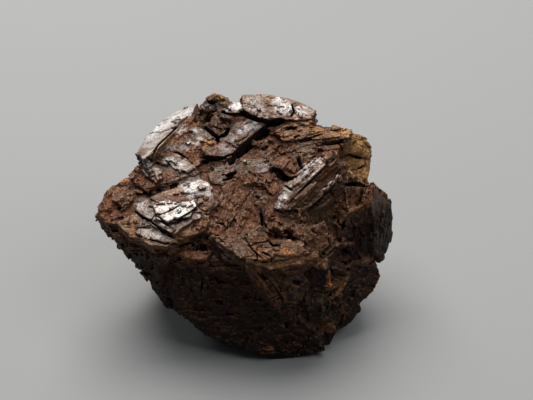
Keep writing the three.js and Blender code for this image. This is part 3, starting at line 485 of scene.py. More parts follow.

# Spots of another colour, by colour: their middles in the picture, radius and strength. The
# white and silver spots are painted highlights and sheen, the large ochre ones on the ochre
# block partly painted light, and the dark ones partly dark stone, partly painted shade in pits
# and gaps. All but the dark ones also lift the painted shade where they lie.
spot_picks = {
    "tan": [
        (300, 135, 2, 0.5), (285, 127, 1.5, 0.5), (310, 150, 2, 0.4), (141, 150, 1.2, 0.8),
        (114, 189, 0.7, 0.5), (213, 96, 1, 0.6), (360, 145, 1.6, 0.4), (305, 205, 1.2, 0.4),
        (290, 160, 1.5, 0.4), (248, 252, 1.3, 0.4), (232, 212, 2, 0.3), (296, 247, 1.3, 0.5),
        (180, 240, 1.6, 0.35), (200, 225, 1.3, 0.4), (321, 300, 0.7, 0.6), (275, 280, 1.2, 0.5),
        (284, 290, 1.2, 0.4), (292, 280, 1.3, 0.5), (298, 290, 1.2, 0.5),
        (305, 305, 0.5, 0.7), (370, 204, 0.5, 0.6), (384, 193, 0.7, 0.8),
        (316, 139, 2, 0.4), (334, 136, 1.8, 0.4), (156, 246, 1.2, 0.5), (172, 250, 1.2, 0.5),
        (188, 246, 1.1, 0.5),
        (387, 205, 0.6, 0.7), (352, 188, 0.5, 0.5), (366, 262, 0.6, 0.8)],
    "olive": [
        (140, 156, 1.2, 0.8), (150, 162, 1, 0.6), (328, 149, 1.2, 0.6), (330, 160, 1, 0.6),
        (145, 274, 1, 0.7), (296, 295, 1.6, 0.5)],
    "pink tan": [
        (150, 142, 1, 0.5), (331, 286, 0.4, 0.6), (262, 243, 0.5, 0.7), (231, 236, 0.4, 0.6),
        (225, 246, 0.5, 0.6), (262, 197, 0.35, 0.6), (238, 250, 0.8, 0.4), (292, 208, 0.5, 0.4)],
    "dark": [
        (178, 122, 0.5, 0.8), (161, 131, 0.3, 0.6), (158, 160, 1, 0.6), (205, 118, 1.3, 0.7),
        (370, 158, 1, 0.5), (255, 192, 1.1, 0.45), (247, 186, 1, 0.35), (240, 206, 0.8, 0.3),
        (263, 204, 0.5, 0.5), (226, 218, 0.6, 0.3), (246, 224, 0.5, 0.3), (290, 216, 0.9, 0.4)],
    "grey": [
        (165, 119, 0.35, 0.7), (163, 123, 0.35, 0.7), (182, 113, 0.3, 0.6), (300, 145, 0.8, 0.5),
        (312, 145, 1, 0.5), (180, 130, 1.1, 0.6), (188, 138, 0.9, 0.5), (174, 143, 0.8, 0.5),
        (196, 121, 0.8, 0.5), (225, 118, 1, 0.5), (236, 122, 1, 0.5), (214, 120, 0.9, 0.5),
        (205, 150, 0.8, 0.5), (216, 110, 0.9, 0.5), (224, 112, 0.9, 0.5)],
    "rust": [
        (175, 135, 1.5, 0.6), (190, 120, 1.6, 0.5), (194, 152, 0.9, 0.8), (131, 181, 1, 0.8),
        (108, 207, 1.3, 0.5), (140, 178, 1.2, 0.5), (198, 111, 0.9, 0.6), (322, 134, 1.4, 0.6),
        (340, 142, 1.2, 0.7), (356, 175, 1.2, 0.4), (325, 172, 1.5, 0.5), (277, 147, 1, 0.5),
        (250, 225, 1.8, 0.5), (258, 240, 1.3, 0.6), (222, 228, 1.2, 0.5), (276, 236, 1, 0.5),
        (198, 254, 1.3, 0.7), (204, 262, 0.8, 0.6), (190, 248, 1, 0.4), (206, 225, 1, 0.3),
        (326, 297, 0.7, 0.6), (360, 208, 0.7, 0.7), (360, 285, 1, 0.4), (152, 244, 1.5, 0.5),
        (166, 248, 1.5, 0.5), (182, 248, 1.4, 0.5), (198, 242, 1.3, 0.5), (132, 234, 1.2, 0.4)],
    "ochre": [
        (350, 140, 2.4, 0.6), (362, 150, 2.4, 0.6), (355, 168, 2.4, 0.6), (168, 140, 1.2, 0.5),
        (206, 143, 0.9, 0.9), (219, 97, 0.8, 0.6), (318, 129, 1.5, 0.5), (340, 133, 1.5, 0.5),
        (348, 165, 1.8, 0.5), (329, 285, 0.55, 1), (352, 152, 2, 0.5), (360, 162, 2, 0.5)],
    "orange": [
        (215, 143, 0.28, 1), (255, 135, 0.5, 0.5), (125, 178, 0.8, 0.7), (262, 258, 1, 0.4),
        (288, 253, 0.9, 0.5), (330, 278, 0.55, 1), (266, 284, 1, 0.6), (343, 313, 0.4, 0.6),
        (325, 319, 0.5, 0.6)],
    "blue grey": [
        (204, 105, 0.7, 0.8)],
    "white": [
        (160, 125, 1.4, 0.7), (174, 117, 1.4, 0.7), (188, 110, 1.1, 0.6), (150, 137, 1, 0.5),
        (188, 186, 1.5, 0.8), (207, 183, 0.5, 0.8), (192, 197, 0.4, 0.7), (282, 105, 1.6, 0.8),
        (178, 132, 0.35, 0.7), (184, 128, 0.3, 0.6), (194, 131, 0.3, 0.6), (200, 139, 0.3, 0.6),
        (245, 124, 0.25, 0.6), (240, 131, 0.25, 0.6), (222, 145, 0.3, 0.6), (216, 150, 0.3, 0.6),
        (232, 140, 0.25, 0.6), (255, 121, 0.25, 0.6),
        (304, 109, 1.1, 0.6), (150, 168, 0.6, 0.6), (182, 163, 0.6, 0.5), (313, 162, 0.6, 0.7),
        (307, 166, 0.6, 0.7), (146, 165, 0.4, 0.7), (154, 172, 0.4, 0.7), (159, 167, 0.35, 0.6),
        (165, 160, 0.4, 0.7), (173, 158, 0.4, 0.6), (178, 167, 0.35, 0.6), (187, 161, 0.4, 0.6),
        (170, 174, 0.4, 0.6), (150, 159, 0.35, 0.6), (192, 170, 0.35, 0.6), (163, 226, 0.4, 0.8),
        (170, 229, 0.5, 0.8), (157, 217, 0.4, 0.7), (196, 144, 0.4, 0.6), (188, 143, 0.5, 0.6),
        (292, 179, 0.8, 0.8), (283, 196, 0.8, 0.8), (279, 206, 0.6, 0.7), (302, 172, 0.6, 0.8),
        (290, 190, 0.4, 0.6), (276, 102, 1, 0.8), (289, 107, 1, 0.8), (164, 207, 0.8, 0.7),
        (176, 214, 0.8, 0.7), (188, 206, 0.7, 0.7)],
    "silver": [
        (227, 254, 0.5, 0.7), (143, 204, 1, 0.6), (150, 231, 1.3, 0.6), (256, 103, 1.2, 0.5),
        (172, 148, 0.9, 0.5), (184, 146, 0.8, 0.5), (156, 170, 0.9, 0.5), (176, 166, 1, 0.5),
        (248, 128, 0.7, 0.4), (236, 136, 0.7, 0.4), (228, 148, 0.7, 0.4), (262, 167, 0.8, 0.4),
        (146, 228, 1.1, 0.6), (158, 233, 1.1, 0.6), (166, 236, 0.7, 0.5), (250, 103, 1.5, 0.4),
        (262, 112, 1.5, 0.4), (207, 105, 0.7, 0.5), (297, 178, 0.6, 0.7), (286, 190, 0.6, 0.6),
        (310, 168, 0.6, 0.6), (320, 160, 0.5, 0.6)],
}

# Thin lines of another colour: colour, the way the face looks that they lie on, half their
# width, strength, and their line in the picture. Dark lines are partly painted shade, the silver
# one a painted highlight, and the light ones lift the painted shade.
line_picks = [
    ("dark", [-105, 67], 0.05, 0.6, [[283, 184], [290, 187], [297, 186], [302, 180], [306, 175],
     [312, 167], [318, 161]]),
    ("dark", [-105, 67], 0.05, 0.6, [[284, 190], [292, 193], [300, 186], [308, 176], [316, 167],
     [324, 160]]),
    ("dark", [-105, 66], 0.05, 0.6, [[281, 208], [290, 199], [297, 190], [304, 185], [310, 176]]),
    ("dark", [-105, 66], 0.05, 0.5, [[285, 209], [293, 201], [301, 193], [309, 184], [318, 175]]),
    ("dark", [-105, 65], 0.05, 0.5, [[291, 210], [299, 202], [306, 195], [315, 186]]),
    ("dark", [-105, 65], 0.05, 0.5, [[297, 211], [305, 204], [313, 196], [322, 186]]),
    ("tan", [-105, 65], 0.08, 0.6, [[296, 207], [304, 200], [312, 192], [320, 184]]),
    ("pink tan", [-105, 66], 0.08, 0.7, [[290, 205], [298, 197], [306, 189], [314, 179]]),
    ("silver", [-102, 64], 0.12, 0.8, [[322, 190], [327, 186], [332, 181], [339, 175]]),
    ("tan", [-102, 60], 0.12, 0.6, [[307, 205], [314, 199], [321, 193]]),
    ("tan", [-85, 30], 0.1, 0.7, [[302, 219], [305, 214], [308, 210]]),
    ("tan", [-88, 12], 0.1, 0.8, [[246, 266], [256, 276], [266, 288], [276, 300], [284, 308]]),
    ("rust", [-88, 12], 0.14, 0.8, [[252, 267], [262, 277], [271, 290], [280, 302]]),
    ("orange", [-88, 12], 0.08, 0.6, [[258, 269], [267, 279], [275, 291]]),
    ("tan", [-80, 20], 0.1, 0.6, [[290, 304], [300, 309], [307, 303], [309, 295]]),
    ("orange", [-80, 14], 0.22, 0.9, [[330, 273], [331, 280], [330, 288]]),
    ("tan", [-80, 14], 0.1, 0.7, [[322, 299], [324, 308], [323, 318]]),
    ("rust", [-75, 14], 0.1, 0.6, [[342, 300], [343, 310], [340, 320]]),
    ("tan", [-60, 20], 0.12, 0.6, [[346, 268], [354, 264], [362, 262], [370, 260]]),
    ("tan", [-32, 8], 0.1, 0.6, [[378, 190], [386, 197], [391, 208]]),
    ("tan", [-90, 45], 0.12, 0.5, [[246, 262], [262, 263], [280, 259], [300, 254], [317, 256]]),
    ("dark", [-92, 74], 0.06, 0.65, [[154, 211], [160, 212], [170, 209], [178, 205], [184, 200],
     [188, 198]]),
    ("dark", [-92, 74], 0.06, 0.65, [[157, 216], [163, 221], [171, 223], [177, 221], [183, 218],
     [190, 214], [196, 207]]),
    ("dark", [-92, 74], 0.05, 0.6, [[154, 219], [160, 225], [166, 227], [174, 227]]),
    ("dark", [-92, 74], 0.06, 0.6, [[184, 194], [186, 192], [189, 192]]),
    ("dark", [-92, 74], 0.06, 0.6, [[191, 199], [195, 196], [203, 194]]),
    ("dark", [-92, 74], 0.1, 0.8, [[196, 203], [202, 206], [206, 205]]),
    ("dark", [-92, 74], 0.08, 0.8, [[136, 228], [142, 226], [149, 227]]),
]

# Corners of the solid middle that the crystals grow from.
core_corners = [
  [-17, 2, 18.5], [-10, -6.5, 18], [3, -8, 16.5], [9, -6, 16.5], [15, 0, 17], [18, 7, 18],
  [15, 11, 21], [8, 13, 24], [-4, 14, 24], [-12, 10, 21], [-13, -3, 12], [-7, -6, 7], [0, -7.5, 1],
  [9, -6, 1], [12, 3, 1], [4, 9, 1], [-6, 3, 1], [16, 6, 8], [3, 12, 12], [-12, 8, 12],
]

# Tables of random numbers are so many numbers square, and patterns begin so far into them.
TABLE = 64
INTO_TABLE = 40

# Seeds of the crystals' broken faces: the first one's of each list, and the step to the next.
# Then those of the far side's rows and outlines, of the paint and of the grid.
SHOWN_SEED = 1000
FLAKE_SEED = 3000
HOLLOW_SEED = 5000
UNDER_SEED = 7000
FAR_SIDE_SEED = 9000
SEED_STEP = 37
EGG_SEED = 300
EGG_OUTLINE_SEED = 400
PAINT_SEED = 5
GRID_SEED = 7


def egg_row(row, elevation, start, end, count):
    """The crystals of one row round the far side, as in the solid."""
    random = random_stream(EGG_SEED + row)
    made = []
    for i in range(count):
        azimuth = start + (end - start) * (i + 0.5 * (next(random) - 0.5)) / (count - 1)
        tilt = elevation + 14 * (next(random) - 0.5)
        a, e = math.radians(azimuth), math.radians(tilt)
        outwards = np.array([math.cos(e) * math.cos(a), math.cos(e) * math.sin(a), math.sin(e)])
        face = EGG_CENTRE + EGG_RADII * outwards
        looks = [azimuth + 24 * (next(random) - 0.5), 0.8 * tilt + 20 * (next(random) - 0.5)]
        length = 9 + 5 * next(random)
        width = 7 + 3 * next(random)
        spin = 180 * next(random)
        outline = rhomb(length, width, spin, EGG_OUTLINE_SEED + 20 * row + i)
        steps = [EGG_STEP, 360 * next(random)]
        made.append(crystal(f"far side {row} {i}", face, looks, EGG_DEPTH, 2, steps, outline))
    return made


def axes_of(looks):
    """The directions to the right, up and outwards of a face that looks that way."""
    a, e = np.radians(looks)
    normal = np.array([np.cos(e) * np.cos(a), np.cos(e) * np.sin(a), np.sin(e)])
    right = np.array([-np.sin(a), np.cos(a), 0.0])
    return right, np.cross(normal, right), normal


def solid_sheets(c, seed):
    """The sheets of the solid's crystal: depth of each one's top and foot, and its corners."""
    random = random_stream(seed)
    step, side = c["steps"]
    outline = c["outline"]
    away = outline / np.linalg.norm(outline, axis=1)[:, None]
    aside = np.array([math.cos(math.radians(side)), math.sin(math.radians(side))])
    made, top = [], 0.0
    for k in range(c["sheets"]):
        stray = np.array([[next(random) - 0.5, next(random) - 0.5] for _ in outline])
        corners = outline + 0.4 * step * k * away + 0.8 * step * k * aside
        if k:
            corners = corners + 2 * RAGGED * stray
        foot = top + c["depth"] / c["sheets"] * (0.7 + 0.6 * next(random))
        made.append((top, foot, corners))
        top = foot
    return made


def eased(share):
    """A share from 0 to 1 that starts and ends gently."""
    return share * share * (3 - 2 * share)


def noise(a, b, table):
    """Smooth noise from 0 to 1 over two coordinates, one bump a unit."""
    i, j = np.floor(a).astype(np.int32), np.floor(b).astype(np.int32)
    f, g = eased(a - i), eased(b - j)
    i0, i1, j0, j1 = i % TABLE, (i + 1) % TABLE, j % TABLE, (j + 1) % TABLE
    low = table[i0, j0] * (1 - f) + table[i1, j0] * f
    high = table[i0, j1] * (1 - f) + table[i1, j1] * f
    return low * (1 - g) + high * g


def blocks(a, b, table):
    """One number from 0 to 1 for each block of a pattern of bricks, one block a unit. Each
    course of the bricks is shifted by up to 9 of them, which one column of the table tells."""
    shifts = 9 * table[:, 7]
    j = np.floor(b).astype(np.int32) % TABLE
    i = np.floor(a + shifts[j]).astype(np.int32) % TABLE
    return table[i, j]


def outline_distance(corners, u, v):
    """Distance in mm from the outline, less than zero inside it."""
    tiny, level = 1e-12, 1e-9
    nearest = np.full(u.shape, np.inf)
    inside = np.zeros(u.shape, bool)
    for (x0, y0), (x1, y1) in zip(corners, np.roll(corners, -1, 0)):
        ex, ey = x1 - x0, y1 - y0
        t = np.clip(((u - x0) * ex + (v - y0) * ey) / (ex * ex + ey * ey + tiny), 0, 1)
        nearest = np.minimum(nearest, (u - x0 - t * ex) ** 2 + (v - y0 - t * ey) ** 2)
        crosses = (y0 > v) != (y1 > v)
        inside ^= crosses & (u < ex * (v - y0) / (ey if abs(ey) > level else level) + x0)
    return np.where(inside, -1.0, 1.0) * np.sqrt(nearest)


# How the sheets of a crystal are broken. leaf is their thickness, relief how deep the face is
# flaked, block the size of its flakes, grain how much longer they are than wide, ragged how far
# the broken edges stray, cracks how many cross the face, line the direction of the grain in
# degrees from the face's own right, where it isn't that of its longest edge, and other the angle
# from there to the second cleavage. wander is how much the broken lines stray from straight,
# and rubble the share of the small loose blocks that it keeps.
PLAIN = {"leaf": 0.24, "relief": 0.24, "block": 1.5, "grain": 2.0, "ragged": 0.3, "cracks": 4,
         "line": None, "other": None, "wander": 0.7, "rubble": 0.8}

# Thickness of a sheet as shares of leaf, how far the proudest one stands out as a share of
# relief, and the angle to the second cleavage in degrees.
LEAF_RANGE = (0.6, 1.6)
PROUD = 0.4
SECOND_CLEAVAGE = (72, 104)

# The tables of random numbers of a face, in the order in which they are drawn.
FACE_TABLES = ("u wave", "v wave", "coarse", "fine", "tiny", "wide", "crack", "u ripple",
               "v ripple")

# How far the grain strays from straight, and how far it is from one bend to the next, in mm.
WAVE = (0.3, 1.6)
RIPPLES = (0.14, 0.4)

# The patterns of flakes: size as a share of block, and shares of the relief and of the edge.
FLAKE_SIZES = {"wide": 2.1, "coarse": 1, "fine": 0.5, "tiny": 0.25}
RELIEF_SHARES = {"wide": 0.3, "coarse": 0.3, "fine": 0.24, "tiny": 0.16}
EDGE_SHARES = {"coarse": 0.9, "fine": 0.7, "tiny": 0.4}

# A crack in a face: its length as a share of the face's, half its width and its depth. It
# follows the grain with a chance of ALONG_GRAIN, and turns from it by about so many radians.
CRACK_LENGTHS = (0.2, 0.6)
CRACK_WIDTHS = (0.06, 0.13)
CRACK_DEPTHS = (0.4, 1.4)
ALONG_GRAIN = 0.6
CRACK_TURN = 0.12


def longest_edge(outline):
    """Direction of the longest edge, in radians."""
    edges = np.roll(outline, -1, 0) - outline
    x, y = edges[np.argmax(np.linalg.norm(edges, axis=1))]
    return math.atan2(y, x)


def grain_line(c, style):
    """Direction of the grain on the crystal's face, in radians."""
    return longest_edge(c["outline"]) if style["line"] is None else math.radians(style["line"])


def leaf_levels(foot, style, rng):
    """Depths at which one thin sheet ends and the next begins, down to the crystal's foot."""
    levels = [-PROUD * style["relief"]]
    while levels[-1] < foot:
        levels.append(levels[-1] + style["leaf"] * rng.uniform(*LEAF_RANGE))
    levels[-1] = foot
    return levels


def bends(u, v, wander, wave_table, ripple_table):
    """How far the broken lines stray to one side at each point of the face."""
    (wave, wave_length), (ripple, ripple_length) = WAVE, RIPPLES
    broad = wave * wander * (noise(u / wave_length, v / wave_length, wave_table) - 0.5)
    close = noise(u / ripple_length, v / ripple_length, ripple_table) - 0.5
    return broad + ripple * wander * close


def face_cracks(u, v, low, high, directions, count, table, rng):
    """Cracks across a face: how far inside of one each point is, and how deep that one goes."""
    crack = np.full(u.shape, -1.0)
    crack_depth = np.zeros(u.shape)
    reach = max(high - low) / 2
    line, other = directions
    for _ in range(count):
        turn = (line if rng.random() < ALONG_GRAIN else other) + rng.normal(0, CRACK_TURN)
        cu, cv = rng.uniform(low * 0.6, high * 0.6)
        s = (u - cu) * math.cos(turn) + (v - cv) * math.sin(turn)
        t = (v - cv) * math.cos(turn) - (u - cu) * math.sin(turn)
        t = t + 0.5 * (noise(s / 0.7 + 31, t * 0 + 7 * rng.random(), table) - 0.5)
        half = rng.uniform(*CRACK_LENGTHS) * reach
        width = rng.uniform(*CRACK_WIDTHS) * (1 - (s / half) ** 2)
        here = np.where(np.abs(s) < half, width - np.abs(t), -1.0)
        deep = rng.uniform(*CRACK_DEPTHS)
        crack_depth = np.where(here > crack, deep, crack_depth)
        crack = np.maximum(crack, here)
    return crack, crack_depth


def leaf_maps(c, seed, style):
    """The crystal as thin sheets: depths of their tops and feet, for each one a map over the
    face of the distance from its broken outline, and the lowest corner of the maps."""
    rng = np.random.default_rng(seed)
    sheets = solid_sheets(c, seed)
    levels = leaf_levels(sheets[-1][1], style, rng)
    corners = np.vstack([s[2] for s in sheets])
    low, high = corners.min(0) - MARGIN, corners.max(0) + MARGIN
    u, v = np.meshgrid(np.arange(low[0], high[0], PIXEL), np.arange(low[1], high[1], PIXEL))
    line = grain_line(c, style)
    turn = rng.uniform(*SECOND_CLEAVAGE) if style["other"] is None else style["other"]
    other = line + math.radians(turn)
    tables = rng.random((len(FACE_TABLES), TABLE, TABLE)).astype(np.float32)
    tables = dict(zip(FACE_TABLES, tables))

    # The flakes of the face, which stand in steps along and across its grain.
    du = bends(u, v, style["wander"], tables["u wave"], tables["u ripple"])
    dv = bends(u, v, style["wander"], tables["v wave"], tables["v ripple"])
    across = (v + dv) * math.cos(line) - (u + du) * math.sin(line) + INTO_TABLE
    along = (u + du) * math.sin(other) - (v + dv) * math.cos(other) + INTO_TABLE
    size, grain, ragged = style["block"], style["grain"], style["ragged"]
    flakes = {name: blocks(along / (share * size * grain), across / (share * size), tables[name])
              for name, share in FLAKE_SIZES.items()}
    height = sum(share * flakes[name] for name, share in RELIEF_SHARES.items())
    height = np.clip((height - 0.28) / 0.4, 0, 1)
    height = PROUD * style["relief"] + 1.5 * style["relief"] * (height - 1)
    edge = ragged * sum(share * (flakes[name] - 0.5) for name, share in EDGE_SHARES.items())
    outlines = [outline_distance(s[2], u, v) for s in sheets]
    crack, crack_depth = face_cracks(u, v, low, high, (line, other), style["cracks"],
                                     tables["crack"], rng)

    # Each thin sheet has the outline of the solid's one that it is part of, broken in its own way.
    maps = []
    for top, base in zip(levels, levels[1:]):
        middle = 0.5 * (top + base)
        k = next((k for k, s in enumerate(sheets) if middle < s[1]), len(sheets) - 1)
        own = rng.random((TABLE, TABLE)).astype(np.float32)
        stray = noise(u / 0.6, v / 0.6, own) - 0.5
        chips = blocks(along / (0.6 * size), across / (0.4 * size), own) - 0.5
        d = outlines[k] + edge + ragged * (0.3 * stray + 0.5 * chips)
        deep = min(max(middle - 0.8, 0) / 2, 1)
        d = d + rng.uniform(-1, 1) * (0.1 + 0.25 * deep) + 0.9 * deep * (flakes["wide"] - 0.4)
        flaked_off = -top - height + 0.1 * stray
        d = np.maximum(d, 2.5 * flaked_off)
        d = np.maximum(d, np.where(crack_depth > top, crack, -1.0))
        maps.append(np.clip(d, -1, 1))
    outside = np.full((1,) + u.shape, 1.0)
    maps = np.concatenate([outside, np.array(maps), outside]).astype(np.float32)
    return np.array(levels), maps, low


def window(low, high):
    """The part of the grid inside a box, as slices and as the coordinates along its sides."""
    i0 = np.maximum(np.floor((np.asarray(low) - GRID_LOW) / VOXEL).astype(int), 0)
    i1 = np.minimum(np.ceil((np.asarray(high) - GRID_LOW) / VOXEL).astype(int) + 1, SHAPE)
    part = tuple(slice(a, b) for a, b in zip(i0, i1))
    x, y, z = (AXES[k][part[k]] for k in range(3))
    return part, x[:, None, None], y[None, :, None], z[None, None, :]


def dot(direction, x, y, z):
    """How far places go in a direction."""
    return direction[0] * x + direction[1] * y + direction[2] * z


# Steps of depth in which a sheet is looked up, and depths that stand for above and below all.
TICK = 0.02
ABOVE = -9.0
BELOW = 99.0


def stack_distance(c, seed, style):
    """Where in the grid the crystal is, and its distances there, less than zero inside it."""
    levels, maps, low = leaf_maps(c, seed, style)
    right, up, normal = axes_of(c["looks"])
    rows, columns = maps.shape[1:]
    us = low[0] + PIXEL * np.array([0, columns - 1])
    vs = low[1] + PIXEL * np.array([0, rows - 1])
    ends = [c["face"] + right * a + up * b - normal * w
            for a in us for b in vs for w in (levels[0] - BAND, levels[-1] + BAND)]
    part, x, y, z = window(np.min(ends, 0), np.max(ends, 0))
    fx, fy, fz = c["face"]
    u = dot(right, x - fx, y - fy, z - fz)
    v = dot(up, x - fx, y - fy, z - fz)
    w = RIPPLE[part] - dot(normal, x - fx, y - fy, z - fz)
    iu = ((u - low[0]) / PIXEL + 0.5).astype(np.int32)
    iv = ((v - low[1]) / PIXEL + 0.5).astype(np.int32)
    near = (iu >= 0) & (iu < columns) & (iv >= 0) & (iv < rows)
    near &= (w > levels[0] - BAND) & (w < levels[-1] + BAND)
    iu, iv, w = np.broadcast_to(iu, near.shape)[near], iv[near], w[near].astype(np.float32)
    table = np.searchsorted(levels[1:-1], np.arange(levels[0], levels[-1] + TICK, TICK)) + 1
    j = table[np.clip(((w - levels[0]) / TICK).astype(np.int32), 0, len(table) - 1)]
    tops = np.concatenate([[ABOVE], levels[:-1], [BELOW]]).astype(np.float32)
    feet = np.concatenate([[ABOVE], levels[1:], [BELOW]]).astype(np.float32)
    flat = maps.ravel()
    place = (j * rows + iv) * columns + iu
    distance = np.full(w.shape, 1.0, np.float32)
    for k in (-1, 0, 1):
        one = np.maximum(tops[j + k] - w, w - feet[j + k])
        np.maximum(one, flat[place + k * rows * columns], out=one)
        np.minimum(distance, one, out=distance)
    return part, near, distance


def add_crystal(c, seed, style, host, limit=None):
    """Joins the crystal to the stone, as far as the limit lets it."""
    part, near, distance = stack_distance(c, seed, style)
    if limit is not None:
        distance = np.maximum(distance, limit[part][near])
    field, owner = FIELD[part], OWNER[part]
    before = field[near]
    closer = distance < before
    field[near] = np.where(closer, distance, before)
    owner[near] = np.where(closer & (distance < SKIN), host, owner[near])


def cut_crystal(c, seed, style):
    """Cuts the crystal's room out of the stone."""
    part, near, distance = stack_distance(c, seed, style)
    field = FIELD[part]
    field[near] = np.maximum(field[near], -distance)


def grid_noise(scale, rng):
    """Smooth noise from -1 to 1 over the whole grid."""
    mixes = []
    for k in range(3):
        t = (AXES[k] - GRID_LOW[k]) / scale
        i = np.floor(t).astype(int)
        f = eased(t - i)
        mix = np.zeros((len(t), i.max() + 2), np.float32)
        mix[np.arange(len(t)), i] = 1 - f
        mix[np.arange(len(t)), i + 1] = f
        mixes.append(mix)
    values = rng.uniform(-1, 1, [m.shape[1] for m in mixes]).astype(np.float32)
    values = np.tensordot(mixes[0], values, (1, 0))
    values = np.einsum("jb,xbc->xjc", mixes[1], values, optimize=True)
    return values @ mixes[2].T


def smoothed(values):
    """The values averaged with their neighbours."""
    own, neighbour = 0.84, 0.08
    for axis in range(3):
        values = np.moveaxis(values, axis, 0)
        mean = values.copy()
        mean[1:-1] = own * values[1:-1] + neighbour * (values[:-2] + values[2:])
        values = np.moveaxis(mean, 0, axis)
    return values


def box_mean(values, reach):
    """The mean over a cube that reaches so many voxels each way."""
    for axis in range(3):
        values = np.moveaxis(values, axis, 0)
        total = np.concatenate([np.zeros_like(values[:1]), np.cumsum(values, 0, dtype=np.float32)])
        n = len(values)
        high = np.minimum(np.arange(n) + reach + 1, n)
        low = np.maximum(np.arange(n) - reach, 0)
        values = (total[high] - total[low]) / (2 * reach + 1)
        values = np.moveaxis(values, 0, axis)
    return values


def surroundings(values, reach):
    """The mean over so many mm round each place, in which what is closer counts more."""
    voxels = round(reach / VOXEL)
    return box_mean(box_mean(values, voxels), voxels)


def hull_planes(points):
    """The outward planes of the convex hull: normals and heights."""
    bm = bmesh.new()
    for p in points:
        bm.verts.new(p)
    bmesh.ops.convex_hull(bm, input=bm.verts)
    bm.normal_update()
    planes = {}
    for face in bm.faces:
        n = tuple(round(a, 4) for a in face.normal)
        planes[n] = face.normal.dot(face.verts[0].co)
    bm.free()
    return np.array(list(planes)), np.array(list(planes.values()))


solid = BVHTree.FromPolygons([v.co[:] for v in STONE.vertices],
                             [p.vertices[:] for p in STONE.polygons])


def sight(x, y):
    """The direction in which the camera sees a point of its picture."""
    back = (EYE - AIM) / np.linalg.norm(EYE - AIM)
    right = np.array([1.0, 0.0, 0.0])
    focal = LENS / SENSOR * PICTURE[0]
    across, down = (x - PICTURE[0] / 2) / focal, (y - PICTURE[1] / 2) / focal
    way = across * right - down * np.cross(back, right) - back
    return way / np.linalg.norm(way)


def seen(x, y):
    """The place on the solid that the camera sees at a point of its picture, or None beside it."""
    place = solid.ray_cast(Vector((EYE - CENTRE) / METRE), Vector(sight(x, y)))[0]
    return None if place is None else np.array(place) * METRE + CENTRE


def seen_places(points):
    """The places on the solid of those points of the picture that show it."""
    return [place for place in (seen(*at) for at in points) if place is not None]


def flake(name, looks, lift, corners, depth, sheets, steps):
    """A crystal whose face stands so far out of the solid, with its corners where picked."""
    right, up, normal = axes_of(looks)
    middle = np.mean(corners, 0)
    around = [middle] + [middle + 0.6 * (np.array(c) - middle) for c in corners]
    height = np.median([place @ normal for place in seen_places(around)]) + lift

    def on_face(x, y):
        way = sight(x, y)
        return EYE + way * (height - EYE @ normal) / (way @ normal)

    face = on_face(*middle)
    away = [on_face(*c) - face for c in corners]
    outline = [[a @ right, a @ up] for a in away]
    turns = sum(a[0] * b[1] - b[0] * a[1] for a, b in zip(outline, outline[1:] + outline[:1]))
    return crystal(name, face, looks, depth, sheets, steps, outline[::1 if turns > 0 else -1])


flakes = [flake(*pick[:7]) for pick in flake_picks]

# What fills the stone between the crystals: its solid middle, and the ground in their gaps.
SQUARE = [[-1, -0.5], [1, -0.5], [1, 0.5], [-1, 0.5]]
fillings = [crystal("middle", [2, -10, 12], [-92, 8], 1, 1, [0, 0], SQUARE),
            crystal("ground", [2, 2, 24], [-95, 68], 1, 1, [0, 0], SQUARE)]

# How far some crystals are let in, in mm, so that their faces stand less proud than the solid's.
LET_IN = {"mottled flakes": 0.5, "bright flake": 0.6, "brown shard": 0.3, "bright slab": 0.2}
for c in shown:
    c["face"] -= LET_IN.get(c["name"], 0) * axes_of(c["looks"])[2]

